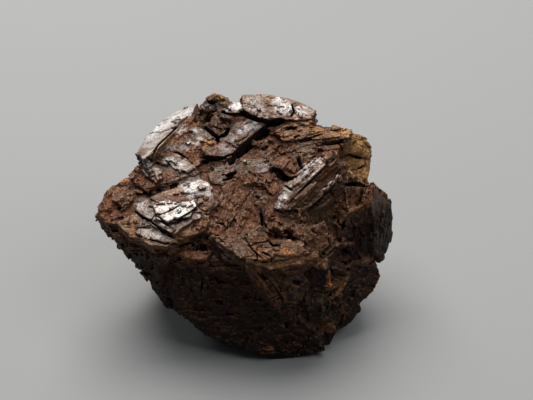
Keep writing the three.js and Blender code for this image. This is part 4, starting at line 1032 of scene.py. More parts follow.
# Where a crystal isn't broken as PLAIN says.
LEDGE = {"relief": 0.3, "block": 0.55, "grain": 5, "rubble": 0.6}
RIDGE = {"relief": 0.26, "block": 0.3, "grain": 16, "wander": 0.25, "ragged": 0.2}
LAMELLA = {"relief": 0.14, "block": 0.28, "grain": 14, "line": 57, "wander": 0.2, "rubble": 0.0,
           "ragged": 0.12}
LAMELLA_CRACKS = (1, 1, 0, 0)
STYLES = {
    "far side": {"relief": 0.4, "block": 2.0, "ragged": 0.45, "rubble": 1.0},
    "under": {"relief": 0.2, "block": 2.2, "ragged": 0.3, "cracks": 1, "rubble": 1.0},
    "hollow": {"relief": 0.2, "block": 0.9, "ragged": 0.2, "cracks": 0},
    "flake": {"relief": 0.06, "block": 1.0, "ragged": 0.08, "cracks": 0, "leaf": 0.3, "wander": 0.2,
              "rubble": 0.0},
    "resting face": {"relief": 0.1, "ragged": 0.3, "cracks": 0},
    "silver back plate": {"relief": 0.1, "block": 1.2, "cracks": 2, "ragged": 0.2, "rubble": 0.15},
    "ridge slab": {"line": 52, "block": 0.9, "grain": 2.5, "rubble": 0.7},
    "mottled flakes": {"relief": 0.2, "block": 0.8, "rubble": 0.6, "line": 35},
    "bright flake": {"relief": 0.05, "block": 1.4, "line": 35, "other": 105, "cracks": 0,
                     "rubble": 0.0, "ragged": 0.15, "wander": 0.3},
    "grey flake": {"relief": 0.16, "block": 1.2, "line": 33, "rubble": 0.05},
    "back right plate": {"relief": 0.06, "ragged": 0.2, "cracks": 1, "rubble": 0.0},
    "first upper ledge": {**LEDGE, "block": 0.6, "line": 22, "rubble": 0.5},
    "second upper ledge": {**LEDGE, "line": 24},
    "third upper ledge": {**LEDGE, "line": 26},
    "bright slab": {"relief": 0.12, "block": 1.7, "line": 35, "other": 105, "cracks": 2,
                    "rubble": 0.0},
    "white patch": {"relief": 0.1, "cracks": 0, "rubble": 0.0, "ragged": 0.2},
    "striated ridge": {**RIDGE, "line": 57, "cracks": 6, "rubble": 0.1},
    "lower ridge": {**RIDGE, "line": 55, "cracks": 4, "rubble": 0.15},
    "brow ledge": {"relief": 0.16, "block": 2.0, "line": -5, "rubble": 0.5},
    "brow shelf": {"relief": 0.13, "block": 1.6, "grain": 3, "cracks": 1, "rubble": 0.5},
    "centre hollow": {"relief": 0.2, "block": 1.8, "rubble": 0.45},
    "front lobe": {"relief": 0.22, "block": 2.0, "grain": 2.6, "rubble": 0.5},
    "ochre block": {"relief": 0.1, "block": 2.2, "cracks": 0, "rubble": 0.15, "ragged": 0.2},
    "front wall": {"relief": 0.45, "block": 2.4, "ragged": 0.4},
    "left wall": {"relief": 0.45, "block": 2.2, "ragged": 0.4},
    "left flank": {"relief": 0.4, "block": 1.8, "ragged": 0.4},
    "front foot": {"relief": 0.35, "block": 2.4},
}
for number, cracks in enumerate(LAMELLA_CRACKS, 1):
    STYLES[f"ridge lamella {number}"] = {**LAMELLA, "cracks": cracks}

# The grid: its places, the distance from the stone at each, its host, which is the place in the
# list of hosts of the crystal that it belongs to, and a ripple that bends all cleavage. What
# lies less than SKIN outside a crystal belongs to it too.
SHAPE = np.ceil((GRID_HIGH - GRID_LOW) / VOXEL).astype(int)
AXES = [(GRID_LOW[k] + VOXEL * np.arange(SHAPE[k])).astype(np.float32) for k in range(3)]
FIELD = np.full(SHAPE, BAND, np.float32)
OWNER = np.zeros(SHAPE, np.uint8)
SKIN = 0.5 * VOXEL
chance = np.random.default_rng(GRID_SEED)
RIPPLE = 0.13 * grid_noise(4.5, chance) + 0.03 * grid_noise(1.6, chance)

styles = {name: {**PLAIN, **changes} for name, changes in STYLES.items()}
far_side = [c for row, r in enumerate(egg_rows) for c in egg_row(row, *r)]

# The crystals that own a place of the grid, from 1 up, and the share of small blocks each keeps.
hosts = [None]
rubble = [0.0]


def host_of(c, style):
    """Keeps the crystal in the list of hosts and gives its place there."""
    hosts.append(c)
    rubble.append(style["rubble"])
    return len(hosts) - 1


def grow(crystals, seed, usual, limit=None):
    """Joins crystals to the stone, each one broken in its own style."""
    for i, c in enumerate(crystals):
        style = styles.get(c["name"], usual)
        add_crystal(c, seed + SEED_STEP * i, style, host_of(c, style), limit)


MIDDLE, GROUND = (host_of(c, PLAIN) for c in fillings)


def add_middle(tables):
    """Joins the solid middle to the stone, with its sides broken into steps."""
    normals, heights = hull_planes(core_corners)
    part, x, y, z = window(np.min(core_corners, 0) - 1, np.max(core_corners, 0) + 1)
    core = np.full(FIELD[part].shape, ABOVE, np.float32)
    for n, h in zip(normals.astype(np.float32), heights):
        np.maximum(core, dot(n, x, y, z) - np.float32(h), out=core)
    long, high = x + 0.3 * z, z - 0.2 * x
    steps = blocks(INTO_TABLE + long / 3.4, INTO_TABLE + high / 1.9, tables[0])
    small = blocks(INTO_TABLE + long / 1.3, INTO_TABLE + high / 0.7, tables[1])
    steps = steps + 0.5 * small
    core = (core + 0.8 * (steps - 0.75) + RIPPLE[part]).astype(np.float32)
    np.minimum(FIELD[part], core, out=FIELD[part])
    OWNER[part][core < SKIN] = MIDDLE


def far_side_lid(tables):
    """Distance from the sloping, stepped lid that ends the far side at its top."""
    px, py = np.meshgrid(AXES[0], AXES[1], indexing="ij")
    p1, p2 = INTO_TABLE + 0.64 * px + 0.77 * py, INTO_TABLE - 0.73 * px + 0.68 * py
    step = 0.5 * blocks(p1 / 3.4, p2 / 2.6, tables[0])
    step = step + 0.35 * blocks(p1 / 1.6, p2 / 1.2, tables[1])
    step = step + 0.35 * noise(p1 / 4, p2 / 4, tables[2]) - 0.6
    lid = AXES[2][None, None, :] - (LID_HEIGHT + LID_SLOPE * py + 1.2 * step)[:, :, None]
    return (lid / math.hypot(1, LID_SLOPE) + RIPPLE).astype(np.float32)


def fill_gaps(reach, share, times):
    """Fills the foot of narrow gaps, where more than that share of the surroundings is stone."""
    coarse = FIELD[::2, ::2, ::2]
    steps = round(reach / VOXEL / 2)
    fill = np.full(coarse.shape, BAND, np.float32)
    for _ in range(times):
        near = (np.minimum(coarse, fill) < 0).astype(np.float32)
        near = box_mean(box_mean(near, steps), steps)
        np.minimum(fill, 2 * reach * (share - near), out=fill)
    for axis in range(3):
        fill = np.repeat(fill, 2, axis)
    fill = box_mean(fill[:SHAPE[0], :SHAPE[1], :SHAPE[2]], 1) + 0.3 * RIPPLE
    fill = fill.astype(np.float32)
    OWNER[(fill < SKIN) & (FIELD > SKIN)] = GROUND
    np.minimum(FIELD, fill, out=FIELD)


def cut_crack(looks, half, depth, corners):
    """Cuts a slit that follows the corners, square to a face that looks that way."""
    past_end, above, room = 0.06, 1.2, 0.6
    normal = axes_of(looks)[2]
    corners = seen_places(corners)
    total = sum(np.linalg.norm(b - a) for a, b in zip(corners, corners[1:]))
    gone = 0.0
    for a, b in zip(corners, corners[1:]):
        length = np.linalg.norm(b - a)
        way = (b - a) / length
        side = np.cross(normal, way)
        side /= np.linalg.norm(side)
        part, x, y, z = window(np.minimum(a, b) - depth - room, np.maximum(a, b) + depth + room)
        x, y, z = x - a[0], y - a[1], z - a[2]
        s, t, w = dot(way, x, y, z), dot(side, x, y, z), dot(normal, x, y, z)
        share = np.clip((gone + s) / total, 0, 1)
        width = half * (0.35 + 0.65 * np.sqrt(4 * share * (1 - share)))
        d = np.maximum(np.abs(t) - width, np.maximum(-s - past_end, s - length - past_end))
        d = np.maximum(d, -w - depth * (0.4 + 0.6 * 4 * share * (1 - share)))
        d = np.maximum(d, w - above).astype(np.float32)
        np.maximum(FIELD[part], -d, out=FIELD[part])
        gone += length


# A small block: its thickness, length and width as shares of its size, how far it stands out
# or is let in as a share of the usual, and how large a share of them is put on, not knocked out.
BLOCK_SIDES = ((0.2, 0.45), (0.8, 1.6), (0.4, 0.9))
BLOCK_STANDS = (0.5, 1.4)
PUT_ON = 0.6
ALL_HOSTS = np.iinfo(OWNER.dtype).max


def block_axes(host, tilt):
    """The directions of a small block's sides: near its host's cleavage, but not quite."""
    right, up, normal = axes_of(hosts[host]["looks"])
    line = longest_edge(hosts[host]["outline"]) + math.radians(chance.normal(0, 7))
    first = right * math.cos(line) + up * math.sin(line)
    second = right * math.cos(line + 1.5) + up * math.sin(line + 1.5)
    wobble = chance.normal(0, math.radians(tilt), 3)
    turn = np.array([[1, -wobble[2], wobble[1]], [wobble[2], 1, -wobble[0]],
                     [-wobble[1], wobble[0], 1]])
    return [turn @ a / np.linalg.norm(turn @ a) for a in (normal, first, second)]


def block_distance(centre, axes, half, x, y, z):
    """Distance from a small oblique block, less than zero inside it."""
    x, y, z = x - centre[0], y - centre[1], z - centre[2]
    sides = [np.abs(dot(axis, x, y, z)) - reach for axis, reach in zip(axes, half)]
    return np.maximum(np.maximum(sides[0], sides[1]), sides[2])


def slope_at(i, j, k):
    """The direction straight out of the stone at a place of the grid."""
    slope = np.array([FIELD[i + 1, j, k] - FIELD[i - 1, j, k],
                      FIELD[i, j + 1, k] - FIELD[i, j - 1, k],
                      FIELD[i, j, k + 1] - FIELD[i, j, k - 1]])
    slope /= np.linalg.norm(slope) + 1e-6
    return slope


def scatter_blocks(count, size, stand, tilt, last=ALL_HOSTS):
    """Puts small blocks on the stone and knocks them out of it, all over or on the first hosts:
    about how many, their size, how far they stand out or in, and their tilt in degrees."""
    lowest = 0.8
    shell = np.flatnonzero((np.abs(FIELD) < 0.6 * VOXEL) & (OWNER > 0) & (OWNER <= last))
    picks = np.sort(chance.choice(shell, count))
    spots = np.stack(np.unravel_index(picks, FIELD.shape), 1)
    for i, j, k in spots[chance.permutation(count)]:
        point = np.array([AXES[0][i], AXES[1][j], AXES[2][k]], float)
        in_grid = 2 < i < SHAPE[0] - 3 and 2 < j < SHAPE[1] - 3 and k < SHAPE[2] - 3
        if point[2] < lowest or not in_grid:
            continue
        host = OWNER[i, j, k]
        if chance.random() > rubble[host]:
            continue
        axes = block_axes(host, tilt)
        half_size = 0.5 * (size * min(np.exp(chance.normal(0, 0.45)), 1.7))
        half = [half_size * chance.uniform(*shares) for shares in BLOCK_SIDES]
        slope = slope_at(i, j, k)
        reach = sum(abs(slope @ a) * h for a, h in zip(axes, half))
        adds = chance.random() < PUT_ON
        out = stand * chance.uniform(*BLOCK_STANDS)
        centre = point + slope * (out - reach) * (1 if adds else -1)
        span = sum(half) + 0.3
        part, x, y, z = window(centre - span, centre + span)
        d = block_distance(centre, axes, half, x, y, z).astype(np.float32)
        field, owner = FIELD[part], OWNER[part]
        if adds:
            d = np.maximum(d, field - 1.7 * out)
            owner[(d < field) & (d < SKIN)] = host
            np.minimum(field, d, out=field)
        else:
            np.maximum(field, -d, out=field)


# The stone: its middle, the far side under its lid, the foot and flanks, what the camera sees,
# then the gaps and cracks, and last the small blocks, the coarse ones first.
middle_tables = chance.random((3, TABLE, TABLE)).astype(np.float32)
add_middle(middle_tables)
grow(far_side, FAR_SIDE_SEED, styles["far side"], far_side_lid(middle_tables))
grow(under, UNDER_SEED, styles["under"])
grow(shown, SHOWN_SEED, PLAIN)
grow(flakes, FLAKE_SEED, styles["flake"])
fill_gaps(reach=0.8, share=0.615, times=4)
for i, c in enumerate(hollows):
    cut_crystal(c, HOLLOW_SEED + SEED_STEP * i, styles["hollow"])
for pick in crack_picks:
    cut_crack(*pick)
for count, size, stand, tilt in [(600, 1.2, 0.22, 8), (1300, 0.65, 0.16, 10)]:
    scatter_blocks(count, size, stand, tilt, GROUND)
for count, size, stand, tilt in [(240, 1.4, 0.2, 5), (1700, 0.75, 0.13, 7), (4500, 0.42, 0.09, 12)]:
    scatter_blocks(count, size, stand, tilt)

# It is flat where it rests, and closed below. The skin is meshed from distances in voxels, cut
# off at REACH. The shares of stone close by and farther off tell how hollow each place is.
REACH = 2.5
CLOSE_BY = 0.35
FARTHER_OFF = 1.1
np.maximum(FIELD, -AXES[2][None, None, :], out=FIELD)
FIELD[:, :, 0] = BAND
field = smoothed(np.clip(FIELD / VOXEL, -REACH, REACH))
filled = (field < 0).astype(np.float32)
stone_near = surroundings(filled, CLOSE_BY)
stone_wide = surroundings(filled, FARTHER_OFF)


def main_skin(faces, count):
    """The faces of the skin that holds most corners: what is sealed in or cut off goes."""
    label = np.arange(count)
    edges = np.vstack([faces[:, [0, 1]], faces[:, [1, 2]]])
    while True:
        low = np.minimum(label[edges[:, 0]], label[edges[:, 1]])
        new = label.copy()
        np.minimum.at(new, edges[:, 0], low)
        np.minimum.at(new, edges[:, 1], low)
        np.minimum.at(new, label, new)
        new = new[new]
        new = new[new]
        if np.array_equal(new, label):
            return faces[label[faces[:, 0]] == np.bincount(label).argmax()]
        label = new


def stone_mesh(field):
    """The stone's surface: corners in mm, and triangles that look outwards."""
    grid = openvdb.FloatGrid(REACH)
    grid.copyFromArray(np.ascontiguousarray(field, np.float32), tolerance=0.0)
    points, triangles, quads = grid.convertToPolygons(isovalue=0.0, adaptivity=0.0)
    points = np.asarray(points, float) * VOXEL + GRID_LOW
    faces = np.vstack([np.asarray(triangles).reshape(-1, 3), quads[:, [0, 1, 2]],
                       quads[:, [0, 2, 3]]]).astype(np.int64)
    faces = main_skin(faces, len(points))
    used, at = np.unique(faces, return_inverse=True)
    points, faces = points[used], at.reshape(-1, 3)
    a, b, c = (points[faces[:, k]] for k in range(3))
    if np.einsum("ij,ij->i", a, np.cross(b, c)).sum() < 0:
        faces = faces[:, ::-1]
    return points, faces


def mesh_object(name, points, faces):
    """A mesh of triangles as an object."""
    mesh = bpy.data.meshes.new(name)
    mesh.vertices.add(len(points))
    mesh.vertices.foreach_set("co", np.asarray(points, np.float32).ravel())
    mesh.loops.add(3 * len(faces))
    mesh.loops.foreach_set("vertex_index", faces.astype(np.int32).ravel())
    mesh.polygons.add(len(faces))
    mesh.polygons.foreach_set("loop_start", 3 * np.arange(len(faces), dtype=np.int32))
    mesh.update(calc_edges=True)
    made = bpy.data.objects.new(name, mesh)
    bpy.context.scene.collection.objects.link(made)
    return made


def made_fewer(thing):
    """The mesh of the object with no more triangles than TRIANGLES."""
    if len(thing.data.polygons) <= TRIANGLES:
        return thing.data
    fewer = thing.modifiers.new("fewer", "DECIMATE")
    fewer.ratio = TRIANGLES / len(thing.data.polygons)
    thin = thing.evaluated_get(bpy.context.evaluated_depsgraph_get())
    return bpy.data.meshes.new_from_object(thin)


def rows_of(items, what, kind=np.float32):
    """Three numbers of each corner or triangle of a mesh, as rows."""
    values = np.zeros(3 * len(items), kind)
    items.foreach_get(what, values)
    return values.reshape(-1, 3)


def srgb(r, g, b):
    """A colour from 0-255 screen values, as light."""
    values = np.array([r, g, b]) / 255
    return np.where(values <= 0.04045, values / 12.92, ((values + 0.055) / 1.055) ** 2.4)


COLOURS = {
    "brown": srgb(98, 63, 41), "chocolate": srgb(72, 50, 36), "red brown": srgb(108, 64, 42),
    "rust": srgb(132, 78, 42), "tan": srgb(142, 109, 80), "ochre": srgb(214, 164, 102),
    "silver": srgb(186, 180, 176), "grey": srgb(110, 100, 94), "blue grey": srgb(92, 92, 96),
    "pink tan": srgb(156, 128, 112), "olive": srgb(68, 58, 42), "dark": srgb(26, 20, 16),
    "white": srgb(232, 228, 225), "orange": srgb(206, 122, 52),
}

# The colour of each crystal's faces and how much they gleam, where it isn't as OTHER_FACES.
OTHER_FACES = ("brown", 0.25)
LOWER_BLOCKS = ("lower right block", "foot block", "toe block", "slotted block")
WALLS = ("left flank", "left wall", "front wall", "front foot")
FACES = {
    # The white and silver faces are partly painted sheen, beside their metallic gloss.
    "silver back plate": ("silver", 0.8), "ridge slab": ("brown", 0.35),
    "mottled flakes": ("grey", 0.5), "grey flake": ("blue grey", 0.55),
    "brown shard": ("brown", 0.3), "peak knob": ("tan", 0.3), "white patch": ("white", 0.7),
    "back right plate": ("pink tan", 0.65), "first upper ledge": ("tan", 0.3),
    "second upper ledge": ("tan", 0.25), "third upper ledge": ("brown", 0.3),
    # The ochre block's pale ochre is partly painted light on its face, which the lamps reach little.
    "ochre block": ("ochre", 0.15), "left corner block": ("red brown", 0.2),
    "bright slab": ("silver", 0.5), "front lobe": ("tan", 0.35), "lower lobe": ("brown", 0.3),
    "centre hollow": ("red brown", 0.3), "upper centre shards": ("brown", 0.35),
    "centre ledge": ("grey", 0.4), "brow ledge": ("tan", 0.3), "brow shelf": ("tan", 0.25),
    "wedge crystal": ("brown", 0.3), "post crystal": ("brown", 0.3),
    "striated ridge": ("red brown", 0.6), "lower ridge": ("red brown", 0.5),
    # The olive of the dark faces on the right and the dark of the right shoulder and outer sheets are
    # partly painted shade.
    "dark cleavage face": ("olive", 0.35), "dark panel": ("olive", 0.3),
    "right shoulder": ("dark", 0.15), "right outer sheets": ("dark", 0.05),
    "tan notch": ("tan", 0.1), "leaning sheets": ("brown", 0.3), "leaning edge": ("rust", 0.25),
    "middle": ("chocolate", 0.2), "ground": ("red brown", 0.15),
    # The olive of the lower right blocks and the chocolate of the walls are darker tones that are
    # partly painted shade.
    **dict.fromkeys(LOWER_BLOCKS, ("olive", 0.25)), **dict.fromkeys(WALLS, ("chocolate", 0.25)),
    **{pick[0]: pick[7:] for pick in flake_picks},
}

# The colours of the crystals' sides, one after the other.
SIDES = ("brown", "chocolate", "red brown", "rust", "brown")

# Painted shade: at most how much darker the steep foot of the front and the right flank are painted.
FRONT_PAINTED_SHADE = 0.85

# How far under the skin its host is looked up, in voxels, and how far where there is none; how
# far out of it, in mm, the stone close by and farther off is; and from what gleam on a face is
# painted as a bright one, more evenly than the others.
UNDER_SKIN = 0.9
DEEPER = 2.2
OUT_CLOSE_BY = 0.15
OUT_FARTHER_OFF = 0.5
BRIGHT = 0.65


def lookup(values, points):
    """The grid's values at the points nearest to these."""
    at = np.rint((points - GRID_LOW) / VOXEL).astype(int)
    at = np.clip(at, 0, SHAPE - 1)
    return values[at[:, 0], at[:, 1], at[:, 2]]


def spread(points, scale, table):
    """Smooth noise from 0 to 1 in space."""
    x, y, z = (points / scale).T
    return (noise(x, y, table) + noise(y + 17, z, table) + noise(z + 31, x + 5, table)) / 3


def fades(value, start, width):
    """A share that grows from 0 where the value is start to 1 where it is width more."""
    return np.clip((value - start) / width, 0, 1)


def fades_below(value, start, width):
    """A share that grows from 0 where the value is start to 1 where it is width less."""
    return np.clip((start - value) / width, 0, 1)


def along_line(points, looks, half, corners):
    """The points near a line through the corners, on a face that looks that way, and a share
    from 1 on the line to 0 beside it."""
    soft, thickness = 0.1, 1.6
    normal = axes_of(looks)[2]
    corners = seen_places(corners)
    levels = [c @ normal for c in corners]
    near = np.flatnonzero(np.abs(points @ normal - np.mean(levels)) < thickness)
    here = points[near] - np.outer(points[near] @ normal, normal)
    corners = [c - level * normal for c, level in zip(corners, levels)]
    distance = np.full(len(near), BAND)
    for a, b in zip(corners, corners[1:]):
        way = b - a
        t = np.clip((here - a) @ way / (way @ way), 0, 1)
        away = np.linalg.norm(here - a - np.outer(t, way), axis=1)
        distance = np.minimum(distance, away)
    return near, np.clip((half + soft - distance) / soft, 0, 1)


def host_table():
    """What the paint needs of each host: a row for each in every one of these arrays."""
    count = len(hosts)
    table = {name: np.zeros((count, 3)) for name in ("right", "up", "normal", "face", "tint")}
    table.update({name: np.zeros(count) for name in ("gleam", "line")})
    table.update({name: np.ones(count) for name in ("long", "wide")})
    for i, c in enumerate(hosts):
        colour, table["gleam"][i] = FACES.get(c["name"] if c else "", OTHER_FACES)
        table["tint"][i] = COLOURS[colour]
        if c:
            style = styles.get(c["name"], PLAIN)
            table["right"][i], table["up"][i], table["normal"][i] = axes_of(c["looks"])
            table["face"][i] = c["face"]
            table["line"][i] = grain_line(c, style)
            table["long"][i] = 0.6 * style["block"] * style["grain"]
            table["wide"][i] = 0.85 * style["block"]
    return table


def shaded_front(points, normals):
    """How much shade is painted on each point, low on the front or on the right flank. The limits
    and the widths over which the painted shade grows are in mm."""
    x, y, z = points.T
    front = fades_below(y, 6, 7) * fades_below(z, 20.5, 5)
    flank = fades(x, 12, 4) * fades_below(z, 21, 3) * fades_below(y, 9, 4)
    steep = fades_below(normals[:, 2], 0.6, 0.4)
    return FRONT_PAINTED_SHADE * np.maximum(front * (0.2 + 0.8 * steep), flank * (0.4 + 0.6 * steep))


def paint_over(coat, local, share, colour):
    """Mixes a share of a colour into the tint of some points."""
    coat["tint"][local] += share[:, None] * (COLOURS[colour] - coat["tint"][local])


def paint_spots(points, coat, table):
    """Paints the picked spots, whose rims are ragged."""
    spots = [(name, *spot) for name, picked in spot_picks.items() for spot in picked]
    for name, x, y, radius, strength in spots:
        far = np.linalg.norm(points - seen(x, y), axis=1)
        local = np.flatnonzero(far < 2 * radius + 1)
        t = (far[local] - 0.3) / radius + 1.4 * (spread(points[local], 0.7, table) - 0.5)
        share = strength * np.clip(1.5 - 1.5 * np.maximum(t, 0), 0, 1)
        paint_over(coat, local, share, name)
        coat["gleam"][local] *= 1 - 0.6 * share * (name not in ("white", "silver"))
        # A spot of any colour but dark lifts the painted shade under it.
        coat["shade"][local] *= 1 - 0.5 * share * (name != "dark")


def paint_cracks(points, coat):
    """Darkens the cracks that are cut: dark colour, and painted shade through their cavity."""
    for looks, half, _, corners in crack_picks:
        local, share = along_line(points, looks, half, corners)
        paint_over(coat, local, 0.7 * share, "dark")
        coat["cavity"][local] = np.maximum(coat["cavity"][local], 0.5 * share)
        coat["gleam"][local] *= 1 - share


def paint_lines(points, coat):
    """Paints the picked lines: a dark one is a fine crack with painted shade in it; a light one is a
    worn edge, the silver one a painted highlight, and each light one lifts the painted shade.
    """
    for name, looks, half, strength, corners in line_picks:
        local, share = along_line(points, looks, half, corners)
        share *= strength
        paint_over(coat, local, share, name)
        if name == "dark":
            coat["cavity"][local] = np.maximum(coat["cavity"][local], 0.6 * share)
            coat["gleam"][local] *= 1 - share
        else:
            coat["shade"][local] *= 1 - 0.6 * share


def paint(mesh):
    """What the place of each corner of the mesh says of its colour, painted shade and gloss: the
    layers tint (alpha: what the painted shade leaves), shade_and_wear (cavity, edge, face, gleam) and
    grain."""
    points = rows_of(mesh.vertices, "co") * METRE + CENTRE
    normals = rows_of(mesh.vertices, "normal")
    host = lookup(OWNER, points - UNDER_SKIN * VOXEL * normals).astype(int)
    deeper = lookup(OWNER, points - DEEPER * VOXEL * normals).astype(int)
    host = np.where(host == 0, deeper, host)
    own = {name: values[host] for name, values in host_table().items()}

    # Where the point is on its crystal: in mm along its face and below it, and in which flake.
    along_rows = "ij,ij->i"
    away = points - own["face"]
    flat = np.clip(np.einsum(along_rows, normals, own["normal"]), 0, 1)
    u = np.einsum(along_rows, away, own["right"])
    v = np.einsum(along_rows, away, own["up"])
    depth = -np.einsum(along_rows, away, own["normal"])
    cosine, sine = np.cos(own["line"]), np.sin(own["line"])
    a, b = u * cosine + v * sine, v * cosine - u * sine
    table = np.random.default_rng(PAINT_SEED).random((TABLE, TABLE)).astype(np.float32)
    course = INTO_TABLE + 3 * np.floor(depth / 0.3)
    flake = blocks(a / own["long"] + INTO_TABLE, b / own["wide"] + course, table)
    chip = blocks(a / 0.7 + INTO_TABLE, b / 0.5 + course, table)

    # How hollow or worn it is there, and how much of the crystal's outer face it keeps.
    near = lookup(stone_near, points + OUT_CLOSE_BY * normals)
    wide = lookup(stone_wide, points + OUT_FARTHER_OFF * normals)
    # The cavity paints shade into the hollows: the material darkens the colour with it.
    cavity = np.clip(2.8 * (near - 0.46) + 2.2 * (wide - 0.38), 0, 1)
    edge = np.clip(3.5 * (0.42 - near), 0, 1)
    face = fades(flat, 0.72, 0.2) * np.clip(1.4 - 1.2 * np.maximum(depth, 0), 0, 1)
    face = face * (host > 0)
    blotch = spread(points, 2.2, table)
    patchy = np.clip(0.35 + 0.9 * flake + 0.5 * (chip - 0.5) - 1.2 * (blotch - 0.5), 0, 1)
    even, uneven = 0.55 + 0.45 * patchy, 0.1 + 0.9 * patchy
    face = face * np.where(own["gleam"] > BRIGHT, even, uneven)

    sides = np.array([COLOURS[name] for name in SIDES])[(host * 7) % len(SIDES)]
    base = 0.1 * np.minimum(own["tint"], 0.35) + 0.9 * sides
    base = base * (0.7 + 0.6 * flake)[:, None]
    # The coat's shade is painted shade, low on the front and on the right flank.
    coat = {"tint": base + face[:, None] * (own["tint"] - base), "cavity": cavity,
            "gleam": 0.2 + 0.9 * own["gleam"] * face, "shade": shaded_front(points, normals)}
    paint_spots(points, coat, table)
    paint_cracks(points, coat)
    paint_lines(points, coat)
    # What the painted shade leaves of the colour, kept in the tint's alpha; the gleam is dulled as
    # much.
    painted_light = 1 - coat["shade"]
    return {"tint": np.c_[coat["tint"], painted_light],
            "shade_and_wear": np.c_[coat["cavity"], edge, face, coat["gleam"] * painted_light],
            "grain": np.c_[a, b, depth]}


def pieces_of(mesh, values):
    """The mesh cut into pieces from left to right, each with its share of the values."""
    sharp = math.radians(35)
    kinds = {3: ("FLOAT_VECTOR", "vector"), 4: ("FLOAT_COLOR", "color")}
    points = rows_of(mesh.vertices, "co")
    faces = rows_of(mesh.polygons, "vertices", np.int32)
    order = np.argsort(points[faces, 0].sum(1), kind="stable")
    made = []
    for name, share in zip(PIECES, np.array_split(order, len(PIECES))):
        used, at = np.unique(faces[share], return_inverse=True)
        piece = mesh_object(name, points[used], at.reshape(-1, 3))
        for layer, value in values.items():
            kind, what = kinds[value.shape[1]]
            kept = piece.data.attributes.new(layer, kind, "POINT")
            kept.data.foreach_set(what, value[used].astype(np.float32).ravel())
        piece.data.shade_smooth()
        piece.data.set_sharp_from_angle(angle=sharp)
        made.append(piece)
    return made


points, faces = stone_mesh(field)
stone = mesh_object("limonite", (points - CENTRE) / METRE, faces)
mesh = made_fewer(stone)
stone_pieces = pieces_of(mesh, paint(mesh))
bpy.data.objects.remove(stone)


class Nodes:
    """A material's nodes, added one call at a time."""

    def __init__(self, material):
        material.use_nodes = True
        self.tree = material.node_tree
        self.shader = self.tree.nodes["Principled BSDF"]

    def add(self, kind, output=0, settings=None, **inputs):
        """An output of a new node. An input is given by its name, or as _ and its number."""
        made = self.tree.nodes.new(kind)
        for key, value in (settings or {}).items():
            setattr(made, key, value)
        for key, value in inputs.items():
            socket = made.inputs[int(key[1:])] if key[1:].isdigit() else made.inputs[key]
            self.put(socket, value)
        return made.outputs[output]

    def put(self, socket, value):
        """Links a value to a socket, or sets the socket to it."""
        if isinstance(value, bpy.types.NodeSocket):
            self.tree.links.new(value, socket)
        elif hasattr(value, "__len__") and len(value) == 3 and socket.type == "RGBA":
            socket.default_value = (*value, 1)
        else:
            socket.default_value = value

    def math(self, operation, a, b=0.0, clamp=False):
        """Two values put together."""
        return self.add("ShaderNodeMath", 0, {"operation": operation, "use_clamp": clamp},
                        _0=a, _1=b)

    def times(self, a, b):
        """One value times another."""
        return self.math("MULTIPLY", a, b)

    def plus(self, a, b, clamp=False):
        """One value and another."""
        return self.math("ADD", a, b, clamp)

    def rest(self, a, clamp=False):
        """What is left of one."""
        return self.math("SUBTRACT", 1.0, a, clamp)

    def mix(self, factor, a, b, blend="MIX"):
        """A colour with a share of another."""
        return self.add("ShaderNodeMix", 2, {"data_type": "RGBA", "blend_type": blend},
                        _0=factor, _6=a, _7=b)

    def ramp(self, value, low, high):
        """A soft step from 0 to 1 between two values."""
        return self.add("ShaderNodeMapRange", 0, {"interpolation_type": "SMOOTHSTEP"},
                        Value=value, _1=low, _2=high)

    def scaled(self, value, low, high, least, most):
        """A value that goes from least to most while another goes from low to high."""
        return self.add("ShaderNodeMapRange", 0, None, Value=value, _1=low, _2=high, _3=least,
                        _4=most)

    def vector(self, operation, a, b):
        """Two vectors put together."""
        return self.add("ShaderNodeVectorMath", 0, {"operation": operation}, _0=a, _1=b)

    def alike(self, kind, value):
        """A colour or vector whose three parts are all the same value."""
        return self.add(kind, 0, None, _0=value, _1=value, _2=value)

    def layer(self, name, *outputs):
        """Outputs of a layer of the mesh: 0 is its colour, 1 its vector and 3 its alpha."""
        made = self.tree.nodes.new("ShaderNodeAttribute")
        made.attribute_name = name
        return [made.outputs[k] for k in outputs]

    def split(self, colour):
        """The three parts of a colour."""
        made = self.tree.nodes.new("ShaderNodeSeparateColor")
        self.put(made.inputs[0], colour)
        return made.outputs

    def blocks(self, place, size):
        """Random colour of each block of a pattern of blocks of that size along the grain."""
        at = self.vector("DIVIDE", place, size)
        return self.add("ShaderNodeTexVoronoi", 1, {"distance": "CHEBYCHEV"}, Vector=at, Scale=1.0,
                        Randomness=0.75)

    def noise(self, place, scale, detail, rough):
        """Smooth noise from 0 to 1."""
        return self.add("ShaderNodeTexNoise", 0, {"noise_dimensions": "3D"}, Vector=place,
                        Scale=scale, Detail=detail, Roughness=rough)


